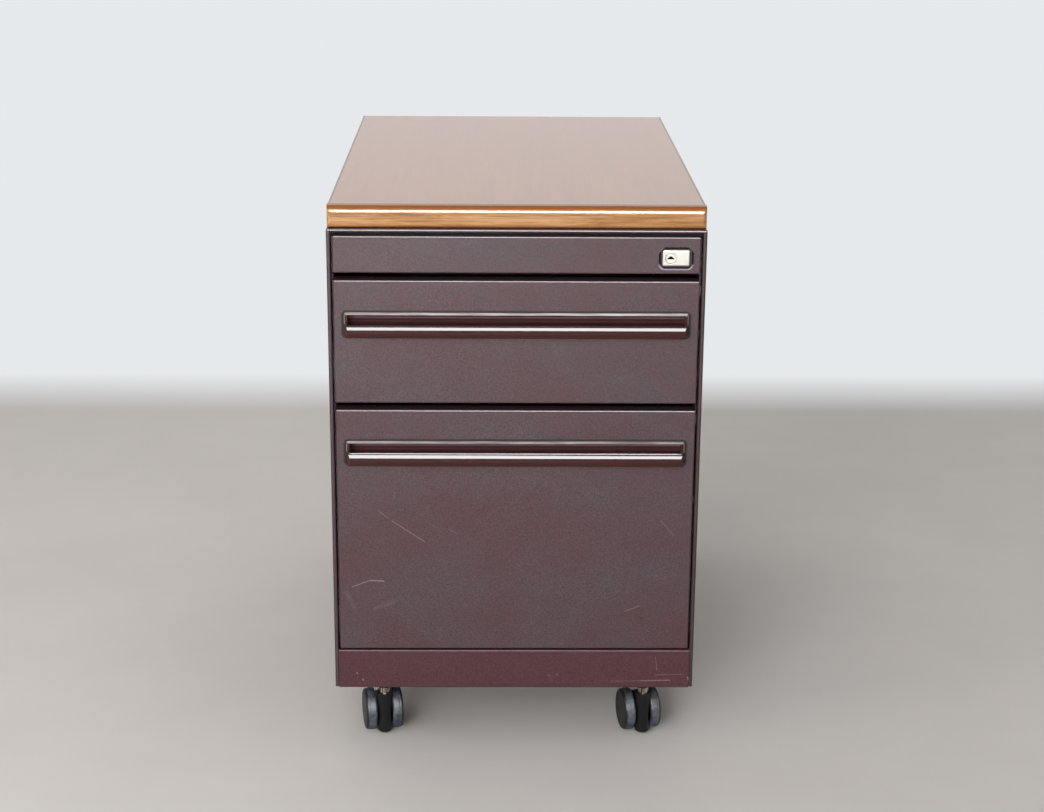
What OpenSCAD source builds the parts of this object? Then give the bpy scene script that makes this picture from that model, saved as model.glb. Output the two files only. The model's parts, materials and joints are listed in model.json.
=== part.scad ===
// Mobile office pedestal: a steel cabinet on four twin-wheel castors, with a wooden top,
// a lockable pencil drawer, a box drawer and a filing drawer. Millimetres, +Z up.
// Origin: on the floor, at the middle of the overall width and depth. The drawers face -Y.

/* [Cabinet] */
// Outer width of the steel cabinet
cab_w = 420; // [400:1:460]
// Depth from the drawer fronts to the back of the cabinet
cab_d = 650; // [620:1:760]
// Height of the plinth's underside above the floor
ground = 70; // [68:1:90]
// Thickness of the sheet steel
sheet = 1; // [0.8:0.1:1.2]
// Width of the folded edge beside the drawer fronts
strip_w = 4.4; // [4:0.1:6]
// Depth of that folded edge
strip_d = 16; // [8:1:16]
// Outside radius of the folded corners
bend_r = 1.8; // [1:0.1:2]
// Width of the inward flange along the back
rear_flange = 12; // [8:1:14]
// Height of the edge round the top cap
cap_lip = 3; // [2.5:0.1:4]
// Radius of the top cap's edges
cap_r = 2.5; // [1:0.1:3]
// Height by which the sides stop above the plinth's underside
side_raise = 1.5; // [0:0.1:3]
// Height of the base pan's underside above the plinth's underside
pan_raise = 4; // [3.2:0.1:8]
// Height of the base pan's welded flanges
pan_flange = 20; // [10:1:30]
// Depth of the plinth's folded edges
plinth_d = 12; // [8:1:14]
// Height of the rail above the pencil drawer
rail_drop = 12; // [8:0.5:12.5]
// Depth of that rail
rail_w = 20; // [15:1:25]
// Gap between that rail and the pencil drawer's front
rail_gap = 2; // [1.5:0.5:4]

/* [Drawer fronts] */
// Height of the pencil drawer's front
pencil_h = 42; // [42:1:50]
// Height of the box drawer's front
box_h = 142; // [135:1:200]
// Height of the filing drawer's front
file_h = 292; // [270:1:330]
// Height of the plinth
plinth_h = 48; // [40:1:80]
// Gap between one front and the next
front_gap = 8; // [4:0.5:10]
// Gap between the filing drawer and the plinth
plinth_gap = 2; // [1.5:0.5:6]
// Height from the top of the pencil drawer to the top of the cabinet
cap_reveal = 8; // [6:0.5:12]
// Gap beside the fronts
side_gap = 2.1; // [1:0.1:3]
// Depth of a folded front
front_d = 18; // [16:0.5:20]
// Radius of a front's edges
front_edge_r = 1.8; // [0.5:0.1:3]
// Radius of a front's corners
front_corner_r = 3; // [1:0.5:6]
// Width of the flange folded behind a front
front_flange = 10; // [8:0.5:12]

/* [Handles] */
// Width of a handle
handle_w = 388; // [120:1:392]
// Height of a handle
handle_h = 30; // [29:0.5:36]
// Distance from the top of a front to the top of its handle
handle_drop = 35.5; // [30:0.5:60]
// Distance by which the rim's inner edge stands out from the front
rim_t = 2; // [1:0.1:3]
// Thickness of the rim's outer edge
rim_edge = 0.4; // [0.2:0.1:1]
// Corner radius of that rim
rim_r = 5; // [2:0.5:8]
// Distance by which the handle's bar stands out from the front
handle_out = 14; // [12.5:0.5:16]
// Radius of the bar's rounded front
bar_r = 11.7; // [10:0.1:16]
// Height of the bar
bar_h = 13.8; // [11:0.1:15]
// Height of the bar's underside above the handle's lower edge
bar_lift = 2.2; // [1:0.1:3]
// Thickness of the bar's lip
lip_w = 2.6; // [2:0.1:4]
// Depth of the hollow for the fingers behind the front's face
hollow_d = 12; // [8:0.5:13]
// Height of the hollow's floor above the handle's lower edge
hollow_z = 4.5; // [4.2:0.1:6]
// Width of the rim above the hollow
rim_w = 3.8; // [3:0.1:5]
// Radius of the hollow's long edges
hollow_r = 8; // [3:0.5:8]
// Wall round the hollow
hollow_wall = 2; // [1.2:0.1:2.2]
// Distance from the handle's ends to the ends of its bar
handle_end = 4; // [2:0.5:10]
// Bevel at the ends of the bar
bar_bevel = 3; // [1:0.5:5]
// Wall at the ends of the bar's hollow
bar_end_wall = 2; // [1:0.5:4]
// Width of the rim that lies on the front beside the window
rim_lap = 2; // [1:0.5:4]
// Width of the rim that lies on the front above and below the window
rim_lap_z = 1; // [0.6:0.1:2]

/* [Drawers] */
// Length by which the box and filing drawers are shorter than their slides
shell_short = 15; // [10:1:60]
// Thickness of the drawer sheet
shell_t = 1; // [0.8:0.1:1.2]
// Width of the hem along a drawer's sides
shell_hem = 8; // [5:0.5:12]
// Height of the turned-down edge of that hem
hem_lip = 5; // [3:0.5:8]
// Height of the drawer's floor above the lower edge of its front
shell_lift = 10; // [8:1:20]
// Height of the box drawer's sides
box_side = 105; // [95:1:110]
// Height of the filing drawer's sides
file_side = 215; // [190:1:230]
// Distance by which a drawer's back is lower than its sides
back_drop = 12; // [0:1:30]
// Height of the rails for hanging files
rail_h = 14; // [8:1:20]
// Thickness of those rails
rail_t = 2.5; // [1.5:0.1:4]
// Distance from those rails to the ends of the drawer
rail_end = 5; // [2:1:20]

/* [Pencil tray] */
// Length of the tray
tray_len = 380; // [330:1:450]
// Length of the small cells in front
cell_len = 114; // [60:1:150]
// Number of small cells
cell_count = 4; // [2:1:6]
// Distance from the top of the drawer's front to the top of the tray
tray_drop = 8; // [7:0.5:12]
// Height of the tray's underside above the front's lower edge
tray_lift = 3; // [2:0.5:6]
// Wall of the tray
tray_wall = 2.5; // [1.5:0.1:3]
// Gap between the folded front and the tray, for the lock's slider
tray_gap = 6; // [5.5:0.5:10]
// Height of the tray's rim
tray_rim_t = 3; // [2:0.1:4]
// Radius of the tray's inner corners
tray_r = 8; // [3:0.5:15]
// Clearance above and below the rim in its runner
runner_clear = 0.3; // [0.2:0.05:0.6]
// Sheet of the runner
runner_t = 1.2; // [1:0.1:1.6]
// Width of the runner's flanges
runner_w = 8.5; // [7:0.5:10]
// Gap between the tray's side and the runner
runner_gap = 2; // [1:0.5:3]
// Width of the spacers between the front and the tray
spacer_w = 12; // [6:1:20]
// Distance of the outer spacers from the tray's sides
spacer_in = 30; // [15:1:60]

/* [Slides] */
// Space between the slides and the back of the cabinet
slide_back_gap = 74; // [40:1:120]
// Gap between a front and its slides
slide_setback = 6; // [6:0.5:10]
// Height of a slide's lower edge above the drawer's floor
slide_lift = 4; // [0:1:16]
// Height of a slide
slide_h = 45.6; // [45:0.1:50]
// Space that a slide fills beside the drawer
slide_t = 12.7; // [12.5:0.1:14]
// Thickness of the slide's steel
slide_sheet = 1.2; // [1:0.05:1.3]
// Gap between the outer member's lips and the drawer
lip_gap = 1.5; // [1:0.1:2.5]
// Gap between one member's web and the next
web_gap = 0.7; // [0.5:0.05:1]
// Diameter of the balls
ball_d = 5.1; // [4.8:0.05:5.3]
// Clearance of a ball in its track
ball_clear = 0.05; // [0.02:0.01:0.1]
// Balls in one row
ball_count = 6; // [3:1:9]
// Spacing of the balls
ball_pitch = 40; // [20:1:45]
// Thickness of the strip that holds the balls
cage_t = 0.6; // [0.4:0.1:1.2]
// Length of that strip beyond the last ball
cage_end = 6; // [4:1:12]
// Distance from the ends of a slide to the last ball
row_end = 20; // [10:1:40]
// Depth of the slotted posts that carry the slides
post_t = 3; // [2.5:0.1:5]
// Width of those posts
post_w = 28; // [24:1:32]
// Distance from a slide's end to the front posts
post_setback = 6; // [5:0.5:20]
// Spacing of the slots in the posts
slot_pitch = 25; // [20:1:50]
// Width of those slots
slot_w = 12; // [6:1:18]
// Height of those slots
slot_h = 3; // [2:0.5:6]
// Distance from a post's ends to its first slot
slot_margin = 15; // [5:1:30]

/* [Lock] */
// Distance of the lock cylinder from the cabinet's right-hand side
lock_from_side = 40; // [36:1:45]
// Height of the lock cylinder's centre above the front's lower edge
lock_up = 18; // [17:0.5:20]
// Width of the pressed recess round the lock
recess_w = 39.4; // [38:0.1:42]
// Height of that recess
recess_h = 25.3; // [24:0.1:27]
// Depth of that recess
recess_d = 2.5; // [1.5:0.1:3]
// Width of the lock's plate
lock_w = 30.6; // [28:0.1:32]
// Height of the lock's plate
lock_h = 18.4; // [16:0.1:20]
// Distance by which the plate stands out of the recess
lock_t = 3.5; // [2:0.1:5]
// Diameter of the lock cylinder
plug_d = 12; // [10:0.5:13]
// Running clearance of the lock cylinder
plug_clear = 0.05; // [0.02:0.01:0.1]
// Wall of the lock's barrel
case_wall = 2.5; // [1.5:0.1:3]
// Distance from the cylinder to the middle of the recess
recess_shift = 6.5; // [5.5:0.1:7.5]
// Distance from the cylinder to the middle of the plate
plate_shift = 5.9; // [5:0.1:7]
// Width of the recess's cut corners
recess_cut = 7; // [3:0.5:9]
// Corner radius of the plate
plate_r = 3; // [1:0.5:6]
// Radius of the plate's edges
plate_edge_r = 1.5; // [0.4:0.1:2]
// Distance by which the cylinder stands out of the plate
plug_proud = 0.6; // [0:0.1:1]
// Bevel round the cylinder's face
plug_bevel = 0.5; // [0.2:0.1:1]
// Width of the groove round the cylinder
groove_w = 0.8; // [0.3:0.1:1.2]
// Depth of that groove
groove_d = 0.8; // [0.3:0.1:2]
// Width of the keyway's arch
key_w = 7; // [4:0.1:8]
// Height of the keyway's slot
key_h = 1.6; // [0.8:0.1:2]
// Diameter of the keyway's arch
key_d = 5; // [3:0.1:6]
// Depth of the keyway
key_depth = 10; // [4:0.5:14]
// Distance of the driving pin from the cylinder's axis
pin_throw = 8; // [6:0.1:8]
// Diameter of the driving pin
pin_d = 4; // [3:0.1:4]
// Play of the driving pin in its slot
pin_slack = 0.4; // [0.3:0.05:0.6]
// Thickness of the disc that carries the pin
cam_t = 1; // [0.8:0.1:1.4]
// Thickness of the slider that the pin lifts
slider_t = 1.5; // [1.2:0.1:2]
// Height of that slider
slider_h = 16; // [12:0.5:18]
// Distance by which the slider reaches past the cylinder
slider_reach = 18; // [14:0.5:20]
// Height of the slider's tongue
tongue_h = 6; // [4:0.5:7]
// Thickness of the lock bar
lockbar_t = 2; // [1.5:0.1:2.2]
// Width of the lock bar
lockbar_w = 10; // [8:0.5:10]
// Height of the tabs that hold the slider's tongue
fork_tab = 2.6; // [2:0.1:3]
// Height of the lock bar's hooks
hook_h = 8; // [5:0.5:10]
// Gap between the hooks and the drawers' sides
hook_clear = 3.7; // [2:0.1:5]
// Distance by which a hook and its lug overlap
hook_lap = 4; // [2:0.1:5]
// Wall of the keeper that guides the slider
keeper_t = 1.5; // [1:0.1:1.8]
// Gap between a hook and the lug above it while the lock is open
hook_gap = 1.5; // [1:0.1:3]
// Thickness of the lugs that the hooks stop
lug_t = 2; // [1.5:0.1:3]
// Height of those lugs
lug_h = 6; // [4:0.5:8]
// Length of the angle that carries a lug
catch_len = 14; // [6:1:30]
// Height of the box drawer's lug above its slides
box_lug_up = 24; // [20:1:35]
// Distance of the filing drawer's lug below the top of its side
file_lug_drop = 40; // [30:1:60]
// Height of the lock bar's guides
guide_h = 10; // [6:1:16]

/* [Top] */
// Distance by which the wooden top stops short of the cabinet's sides
top_inset = 1; // [0:0.1:10]
// Thickness of the wooden top
top_t = 25; // [18:1:40]
// Width of the front edging
front_edging_w = 16; // [10:1:40]
// Width of the side edgings
side_edging_w = 3; // [2:0.5:20]
// Radius of the front edging's long edges
arris_r = 8; // [1:0.5:12]
// Radius of the other edgings' long edges
side_arris_r = 1.5; // [0.5:0.1:3]
// Radius of the top's front corners
top_corner_r = 5; // [3:0.5:10]
// Diameter of the screws that hold the top
top_screw_d = 4; // [3:0.5:6]
// Depth of those screws in the top
top_screw_depth = 16; // [8:1:16]
// Distance of those screws from the sides of the top
top_screw_side = 40; // [25:1:100]
// Distance of those screws from the front and the back
top_screw_end = 60; // [45:1:150]

/* [Castors] */
// Diameter of a castor wheel
wheel_d = 50; // [46:1:54]
// Width of one wheel
wheel_w = 13; // [11:0.5:16]
// Distance from the swivel axis back to the wheels' axis
trail = 18; // [14:0.5:22]
// Diameter of the castor's post
post_d = 16.8; // [16:0.1:18]
// Height of the castor's body above the floor
yoke_h = 54; // [52:0.5:58]
// Diameter of the castor's stem
stem_d = 11; // [8:0.5:11]
// Diameter of the collar on the stem
collar_d = 13; // [12.5:0.5:16]
// Diameter of the wheels' axle
axle_d = 6; // [5:0.5:8]
// Running clearance of the stem and of the axle
castor_clear = 0.05; // [0.02:0.01:0.1]
// Distance of the swivel axes from the cabinet's sides
castor_side = 56; // [50:1:80]
// Distance of the front swivel axes behind the fronts
castor_front = 24; // [22:1:60]
// Distance of the rear swivel axes from the back
castor_back = 50; // [48:1:80]
// Gap between a wheel and the castor's post
wheel_gap = 0.8; // [0.5:0.1:2]
// Gap between the castor's body and the floor
yoke_gap = 3.5; // [3:0.5:8]
// Thickness of the cheek between the wheels
cheek_t = 14; // [8:0.5:14]
// Distance of the cheek's rear corner behind the axle
cheek_back = 12; // [6:1:14]
// Height of that corner above the axle
cheek_top = 14; // [8:1:16]
// Bevel round the foot of the castor's body
yoke_bevel = 1.5; // [1:0.5:5]
// Wall round the axle
boss_wall = 4; // [2:0.5:6]
// Depth of the stem in the castor's body
stem_seat = 18; // [12:1:22]
// Distance by which the stem stops short of its socket's top
stem_short = 4; // [1:1:10]
// Height of the collar on the stem
collar_h = 7; // [4:0.5:8]
// Depth of the wheel's tread
tread_t = 6; // [4:0.5:8]
// Radius of the tread's edges
tread_r = 2.4; // [1:0.1:3]
// Width of the cover that closes a wheel's outer side
cover_w = 3.2; // [2.5:0.1:4]
// Radius of the cover's edge
cover_r = 3; // [1:0.1:4]
// Distance of the cover's edge inside the tread
cover_in = 0.5; // [0.2:0.1:1.5]
// Thickness of the cover
disc_t = 2; // [1.5:0.1:3]
// Wall of the wheel's hub
hub_wall = 3.5; // [2:0.5:5]
// Wall of the sockets that take the stems
socket_wall = 2.5; // [1.5:0.1:4]
// Height of those sockets above the cabinet's floor
socket_h = 29; // [20:1:36]
// Width of the flange under those sockets
socket_flange = 3; // [2:0.5:5]
// Thickness of that flange
socket_flange_t = 2; // [1.5:0.1:2.5]

/* [Counterweight] */
// Gap between the counterweight and the castor sockets
ballast_gap = 16; // [4:1:40]
// Depth of the counterweight
ballast_d = 60; // [30:1:100]
// Height of the counterweight
ballast_h = 32; // [15:1:45]

/* [Hidden] */
$fn = 48;

// Colours
paint = "#6f5c62";
paint_dark = "#5b3f43";
handle_colour = "#4a2a28";
steel = "#b9bcc0";
nickel = "#d9d8d2";
wood = "#c99456";
veneer = "#c9a489";
plastic = "#26262a";
tray_colour = "#8d8c8a";

// Planes of the cabinet
half_w = cab_w / 2;
y_front = -(cab_d - handle_out) / 2;
y_back = y_front + cab_d;
plinth_top = ground + plinth_h;
file_z = plinth_top + plinth_gap;
box_z = file_z + file_h + front_gap;
pencil_z = box_z + box_h + front_gap;
cab_top = pencil_z + pencil_h + cap_reveal;
side_z = ground + side_raise;
side_top = cab_top - cap_lip;
pan_z = ground + pan_raise;
pan_top = pan_z + sheet;
inner_w = half_w - sheet;
strip_x = half_w - strip_w;
front_half = strip_x - side_gap;
front_back = y_front + front_d;
touch = 0.01;
fit_gap = 0.3;

// Planes of the slides and the drawers
slide_x = inner_w - post_t;
shell_x = slide_x - slide_t;
slide_y = front_back + slide_setback;
slide_len = y_back - slide_back_gap - slide_y;
slide_end = slide_y + slide_len;
shell_len = slide_len - shell_short;
inner_len = shell_len - slide_setback - 4 * sheet;
post_y = slide_y + post_setback;
rear_post_y = slide_end - post_w / 2;
rail_z = cab_top - sheet - rail_drop;
lip_u = slide_t - lip_gap;
outer_half = slide_h / 2;
track = slide_sheet + ball_d + 2 * ball_clear;
mid_half = outer_half - track;
inner_half = mid_half - track;
mid_web = slide_sheet + web_gap;
inner_lip = mid_web + slide_sheet + web_gap;
slide_up = shell_lift + slide_lift + outer_half;
box_slide_z = box_z + slide_up;
file_slide_z = file_z + slide_up;

// Planes of the pencil tray
tray_y = front_back + tray_gap;
runner_x = slide_x - runner_w;
tray_x = runner_x - runner_gap;
tray_top = pencil_z + pencil_h - tray_drop;
tray_z = pencil_z + tray_lift;
rim_z = tray_top - tray_rim_t - fit_gap;
rim_x = slide_x - runner_t - fit_gap;
runner_z = rim_z - runner_clear - runner_t;
runner_h = tray_rim_t + 2 * runner_clear + 2 * runner_t;

// Planes of the lock
lock_x = half_w - lock_from_side;
lock_z = pencil_z + lock_up;
recess_x = lock_x + recess_shift;
plate_x = lock_x + plate_shift;
case_d = plug_d + 2 * case_wall;
cam_y = front_back + fit_gap;
slider_y = cam_y + cam_t + fit_gap;
slider_back = slider_y + slider_t;
pin_dx = pin_throw * cos(45);
slider_z = lock_z - pin_throw * sin(45);
slider_x0 = lock_x - slider_reach;
slider_half = slider_h / 2;
tongue_half = tongue_h / 2;
keeper_x = slider_x0 - fit_gap - keeper_t;
lockbar_x = inner_w - 2 * fit_gap - lockbar_t;
hook_lead = 2 * fit_gap;
hook_y = slider_y - hook_lead;
hook_t = slider_t + 2 * hook_lead;
hook_x = shell_x + hook_clear;
lockbar_y = hook_y - keeper_t;
lug_y = hook_y + hook_t + 2 * fit_gap;
lug_tip = hook_x + hook_lap;
fork_half = tongue_half + pin_slack;
fork_top = slider_z + fork_half + fork_tab;
pencil_lug_z = fork_top + 2 * hook_gap;
box_lug_z = box_slide_z + outer_half + box_lug_up;
file_lug_z = file_z + shell_lift + file_side - file_lug_drop;

// Planes of the top
top_half = half_w - top_inset;
top_z1 = cab_top + top_t;
core_y0 = y_front + front_edging_w;
core_y1 = y_back - side_edging_w;
top_screw_x = top_half - top_screw_side;
top_screw_places = [y_front + top_screw_end, y_back - top_screw_end];

// Places of the castors: x, y and the turn about the stem
FRONT_LEFT = [-(half_w - castor_side), y_front + castor_front, 11];
FRONT_RIGHT = [half_w - castor_side, y_front + castor_front, 12];
REAR_LEFT = [-(half_w - castor_side), y_back - castor_back, -9];
REAR_RIGHT = [half_w - castor_side, y_back - castor_back, 14];
CASTORS = [FRONT_LEFT, FRONT_RIGHT, REAR_LEFT, REAR_RIGHT];
wheel_r = wheel_d / 2;
wheel_x = post_d / 2 + wheel_gap;
socket_d = stem_d + 2 * socket_wall;
socket_top = pan_top + socket_h;
ballast_half = half_w - castor_side - socket_d / 2 - ballast_gap;

// ---- helpers ----

// A block between two planes on each axis
module block(x0, x1, y0, y1, z0, z1) {
    translate([x0, y0, z0]) cube([x1 - x0, y1 - y0, z1 - z0]);
}

// A flat outline given in y and z, drawn out along x
module along_x(x0, x1) {
    translate([x0, 0, 0]) rotate([90, 0, 90]) linear_extrude(x1 - x0) children();
}

// A flat outline given in x and z, drawn out along y
module along_y(y0, y1) {
    translate([0, y1, 0]) rotate([90, 0, 0]) linear_extrude(y1 - y0) children();
}

// A flat outline given in x and y, drawn out along z
module along_z(z0, z1) {
    translate([0, 0, z0]) linear_extrude(z1 - z0) children();
}

// A rectangle between two lines on each axis
module rect(a0, a1, b0, b1) {
    translate([a0, b0]) square([a1 - a0, b1 - b0]);
}

// The same with round corners
module round_rect(a0, a1, b0, b1, r) {
    rect(a0 + r, a1 - r, b0, b1);
    rect(a0, a1, b0 + r, b1 - r);
    for (a = [a0 + r, a1 - r], b = [b0 + r, b1 - r]) translate([a, b]) circle(r);
}

// A rectangle about the origin with its corners cut off
module cut_rect(a, b, cut) {
    polygon([[-a, cut - b], [cut - a, -b], [a - cut, -b], [a, cut - b],
             [a, b - cut], [a - cut, b], [cut - a, b], [-a, b - cut]]);
}

// One shape and its mirror image across the middle of the cabinet
module both_sides() {
    children();
    mirror([1, 0, 0]) children();
}

// ---- steel cabinet ----

// Plan of the right-hand side: a folded edge in front, the sheet, a flange at the back
module side_outline() {
    difference() {
        union() {
            intersection() {
                round_rect(strip_x, half_w, y_front, y_front + strip_d + 2 * bend_r, bend_r);
                rect(strip_x, half_w, y_front, y_front + strip_d);
            }
            rect(inner_w, half_w, y_front + bend_r, y_back - bend_r);
            intersection() {
                round_rect(half_w - 2 * rear_flange, half_w, y_back - rear_flange, y_back, bend_r);
                rect(half_w - rear_flange, half_w, y_back - rear_flange, y_back);
            }
        }
        rect(strip_x + sheet, inner_w, y_front + sheet, y_front + strip_d + touch);
        rect(half_w - rear_flange - touch, inner_w, y_back - rear_flange - touch, y_back - sheet);
    }
}

module side_panel_right() {
    color(paint) along_z(side_z, side_top) side_outline();
}

module side_panel_left() {
    color(paint) mirror([1, 0, 0]) along_z(side_z, side_top) side_outline();
}

module back_panel() {
    color(paint) along_x(-inner_w, inner_w) {
        rect(y_back - 2 * sheet, y_back - sheet, side_z, side_top);
        rect(y_back - 2 * sheet - pan_flange, y_back - 2 * sheet, side_top - sheet, side_top);
    }
}

// A shallow lid with rounded edges, standing on the sides
module top_cap() {
    color(paint) difference() {
        intersection() {
            along_x(-half_w, half_w) round_rect(y_front, y_back, side_top - 2 * cap_r, cab_top, cap_r);
            along_y(y_front, y_back) round_rect(-half_w, half_w, side_top - 2 * cap_r, cab_top, cap_r);
            along_z(side_top, cab_top) round_rect(-half_w, half_w, y_front, y_back, bend_r);
        }
        block(-inner_w, inner_w, y_front + sheet, y_back - sheet, side_top - touch, cab_top - sheet);
        for (s = [-1, 1], p = top_screw_places) translate([s * top_screw_x, p, side_top - touch])
            cylinder(d = top_screw_d + 2 * fit_gap, h = cap_lip + 2 * touch);
    }
}

// A channel under the cap, behind the pencil drawer's front
module front_rail() {
    y0 = front_back + rail_gap;
    y1 = y0 + rail_w;
    color(paint) along_x(-inner_w, inner_w) {
        rect(y0, y0 + sheet, rail_z, cab_top - sheet);
        rect(y0, y1, rail_z, rail_z + sheet);
        rect(y1 - sheet, y1, rail_z, cab_top - sheet);
    }
}

// Floor of the cabinet, flanged up along its edges, with holes for the castor sockets
module base_pan() {
    color(paint) difference() {
        union() {
            block(-strip_x, strip_x, y_front + sheet, y_front + strip_d, pan_z, pan_top);
            block(-inner_w, inner_w, y_front + strip_d, y_back - 2 * sheet, pan_z, pan_top);
            block(-strip_x, strip_x, y_front + sheet, y_front + 2 * sheet, pan_z, pan_z + pan_flange);
            block(-inner_w, inner_w, y_back - 3 * sheet, y_back - 2 * sheet, pan_z, pan_z + pan_flange);
            both_sides() block(inner_w - sheet, inner_w, y_front + strip_d, y_back - 2 * sheet,
                               pan_z, pan_z + pan_flange);
        }
        for (c = CASTORS) translate([c[0], c[1], pan_z - touch])
            cylinder(d = socket_d, h = sheet + 2 * touch);
    }
}

// Front plinth between the two folded edges, with its edges turned back
module plinth_rail() {
    back = y_front + plinth_d;
    color(paint_dark) difference() {
        intersection() {
            along_x(-strip_x, strip_x)
                round_rect(y_front, back + 2 * bend_r, ground, plinth_top, bend_r);
            block(-strip_x, strip_x, y_front, back, ground, plinth_top);
        }
        block(-half_w, half_w, y_front + sheet, back + touch, ground + sheet, plinth_top - sheet);
    }
}

// Shallow channel with a row of slots, cleared at its foot for the pan's flange
module slotted_post(y0) {
    y1 = y0 + post_w;
    slot_y = y0 + (post_w - slot_w) / 2;
    difference() {
        block(slide_x, inner_w, y0, y1, pan_top, rail_z);
        block(slide_x + sheet, half_w, y0 + sheet, y1 - sheet, pan_z, cab_top);
        for (z = [pan_top + slot_margin : slot_pitch : rail_z - slot_margin])
            block(slide_x - touch, half_w, slot_y, slot_y + slot_w, z, z + slot_h);
        block(inner_w - sheet, half_w, y0 - touch, y1 + touch, pan_z, pan_z + pan_flange);
    }
}

module slide_posts() {
    color(steel) both_sides() for (y = [post_y, rear_post_y]) slotted_post(y);
}

// Counterweight against tipping, on the floor of the cabinet
module ballast() {
    y1 = y_back - 4 * sheet;
    color(steel) block(-ballast_half, ballast_half, y1 - ballast_d, y1, pan_top, pan_top + ballast_h);
}

// Welded sockets, each with a flange under the pan, bored for a castor's stem
module castor_sockets() {
    under = pan_z - socket_flange_t;
    color(steel) for (c = CASTORS) translate([c[0], c[1], under]) difference() {
        union() {
            cylinder(d = socket_d, h = socket_top - under);
            cylinder(d = socket_d + 2 * socket_flange, h = socket_flange_t);
        }
        translate([0, 0, -touch])
            cylinder(d = stem_d + 2 * castor_clear, h = socket_top - under + 2 * touch);
    }
}

// ---- slides ----

// Outline of the member fixed to the cabinet, in x and z about its own middle
module outer_profile() {
    rect(slide_x - slide_sheet, slide_x, -outer_half, outer_half);
    for (s = [-1, 1]) scale([1, s]) rect(slide_x - lip_u, slide_x, outer_half - slide_sheet, outer_half);
}

// Outline of the member between the two others
module middle_profile() {
    rect(slide_x - mid_web - slide_sheet, slide_x - mid_web, -mid_half, mid_half);
    for (s = [-1, 1]) scale([1, s])
        rect(slide_x - lip_u, slide_x - mid_web, mid_half - slide_sheet, mid_half);
}

// Outline of the member fixed to the drawer
module inner_profile() {
    rect(shell_x, shell_x + slide_sheet, -inner_half, inner_half);
    for (s = [-1, 1]) scale([1, s])
        rect(shell_x, slide_x - inner_lip, inner_half - slide_sheet, inner_half);
}

// A strip that holds a row of balls, half of each ball on either side
module ball_row(y0, x, z) {
    half = ball_d / 2;
    reach = half - cage_t / 2;
    length = (ball_count - 1) * ball_pitch;
    block(x - cage_t / 2, x + cage_t / 2, y0 - cage_end, y0 + length + cage_end, z - reach, z + reach);
    for (i = [0 : ball_count - 1]) translate([x, y0 + i * ball_pitch, z]) sphere(half);
}

module middle_slide(z) {
    length = (ball_count - 1) * ball_pitch;
    row_drop = slide_sheet + ball_clear + ball_d / 2;
    outer_x = slide_x - (lip_u + mid_web) / 2;
    inner_x = slide_x - (lip_u + inner_lip) / 2;
    translate([0, 0, z]) {
        along_y(slide_y, slide_end) middle_profile();
        for (s = [-1, 1]) {
            ball_row(slide_end - length - row_end, outer_x, s * (outer_half - row_drop));
            ball_row(slide_y + row_end, inner_x, s * (mid_half - row_drop));
        }
    }
}

module inner_slide(z) {
    translate([0, 0, z]) along_y(slide_y, slide_y + inner_len) inner_profile();
}

module outer_slides() {
    color(steel) both_sides() for (z = [box_slide_z, file_slide_z])
        translate([0, 0, z]) along_y(slide_y, slide_end) outer_profile();
}

module box_middle_slides() {
    color(steel) both_sides() middle_slide(box_slide_z);
}

module box_inner_slides() {
    color(steel) both_sides() inner_slide(box_slide_z);
}

module file_middle_slides() {
    color(steel) both_sides() middle_slide(file_slide_z);
}

module file_inner_slides() {
    color(steel) both_sides() inner_slide(file_slide_z);
}

// Channels on the posts, in which the tray's rims run
module pencil_runners() {
    color(steel) both_sides() along_y(post_y, rear_post_y + post_w) {
        rect(slide_x - runner_t, slide_x, runner_z, runner_z + runner_h);
        rect(runner_x, slide_x, runner_z, runner_z + runner_t);
        rect(runner_x, slide_x, runner_z + runner_h - runner_t, runner_z + runner_h);
    }
}

// ---- drawer fronts ----

// Solid block of a front with rounded edges and corners
module front_block(z0, z1) {
    far = front_back + 2 * front_edge_r;
    intersection() {
        along_z(z0, z1) round_rect(-front_half, front_half, y_front, far, front_edge_r);
        along_x(-front_half, front_half) round_rect(y_front, far, z0, z1, front_edge_r);
        along_y(y_front, front_back) round_rect(-front_half, front_half, z0, z1, front_corner_r);
    }
}

// A folded front: face, four sides and the flanges behind
module folded_front(z0, z1) {
    difference() {
        front_block(z0, z1);
        block(-front_half + sheet, front_half - sheet, y_front + sheet, front_back - sheet,
              z0 + sheet, z1 - sheet);
        block(-front_half + front_flange, front_half - front_flange, front_back - 2 * sheet,
              front_back + touch, z0 + front_flange, z1 - front_flange);
    }
}

module box_front() {
    color(paint) difference() {
        folded_front(box_z, box_z + box_h);
        handle_window(box_z + box_h);
    }
}

module file_front() {
    color(paint) difference() {
        folded_front(file_z, file_z + file_h);
        handle_window(file_z + file_h);
    }
}

// The pencil drawer's front, with the recess for the lock and a keeper behind it for the slider
module pencil_front() {
    keeper_top = tray_top + keeper_t;
    color(paint) {
        difference() {
            union() {
                folded_front(pencil_z, pencil_z + pencil_h);
                recess_shape(sheet, sheet, y_front + sheet);
            }
            recess_shape(0, 0, y_front);
            translate([lock_x, y_front, lock_z]) rotate([-90, 0, 0])
                cylinder(d = case_d, h = front_d + touch);
        }
        difference() {
            block(keeper_x, slider_x0 + 2 * keeper_t, front_back, slider_back + fit_gap + keeper_t,
                  pencil_z + keeper_t, keeper_top);
            block(slider_x0 - fit_gap, lock_x, slider_y - fit_gap, slider_back + fit_gap,
                  pencil_z, keeper_top + touch);
        }
    }
}

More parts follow.
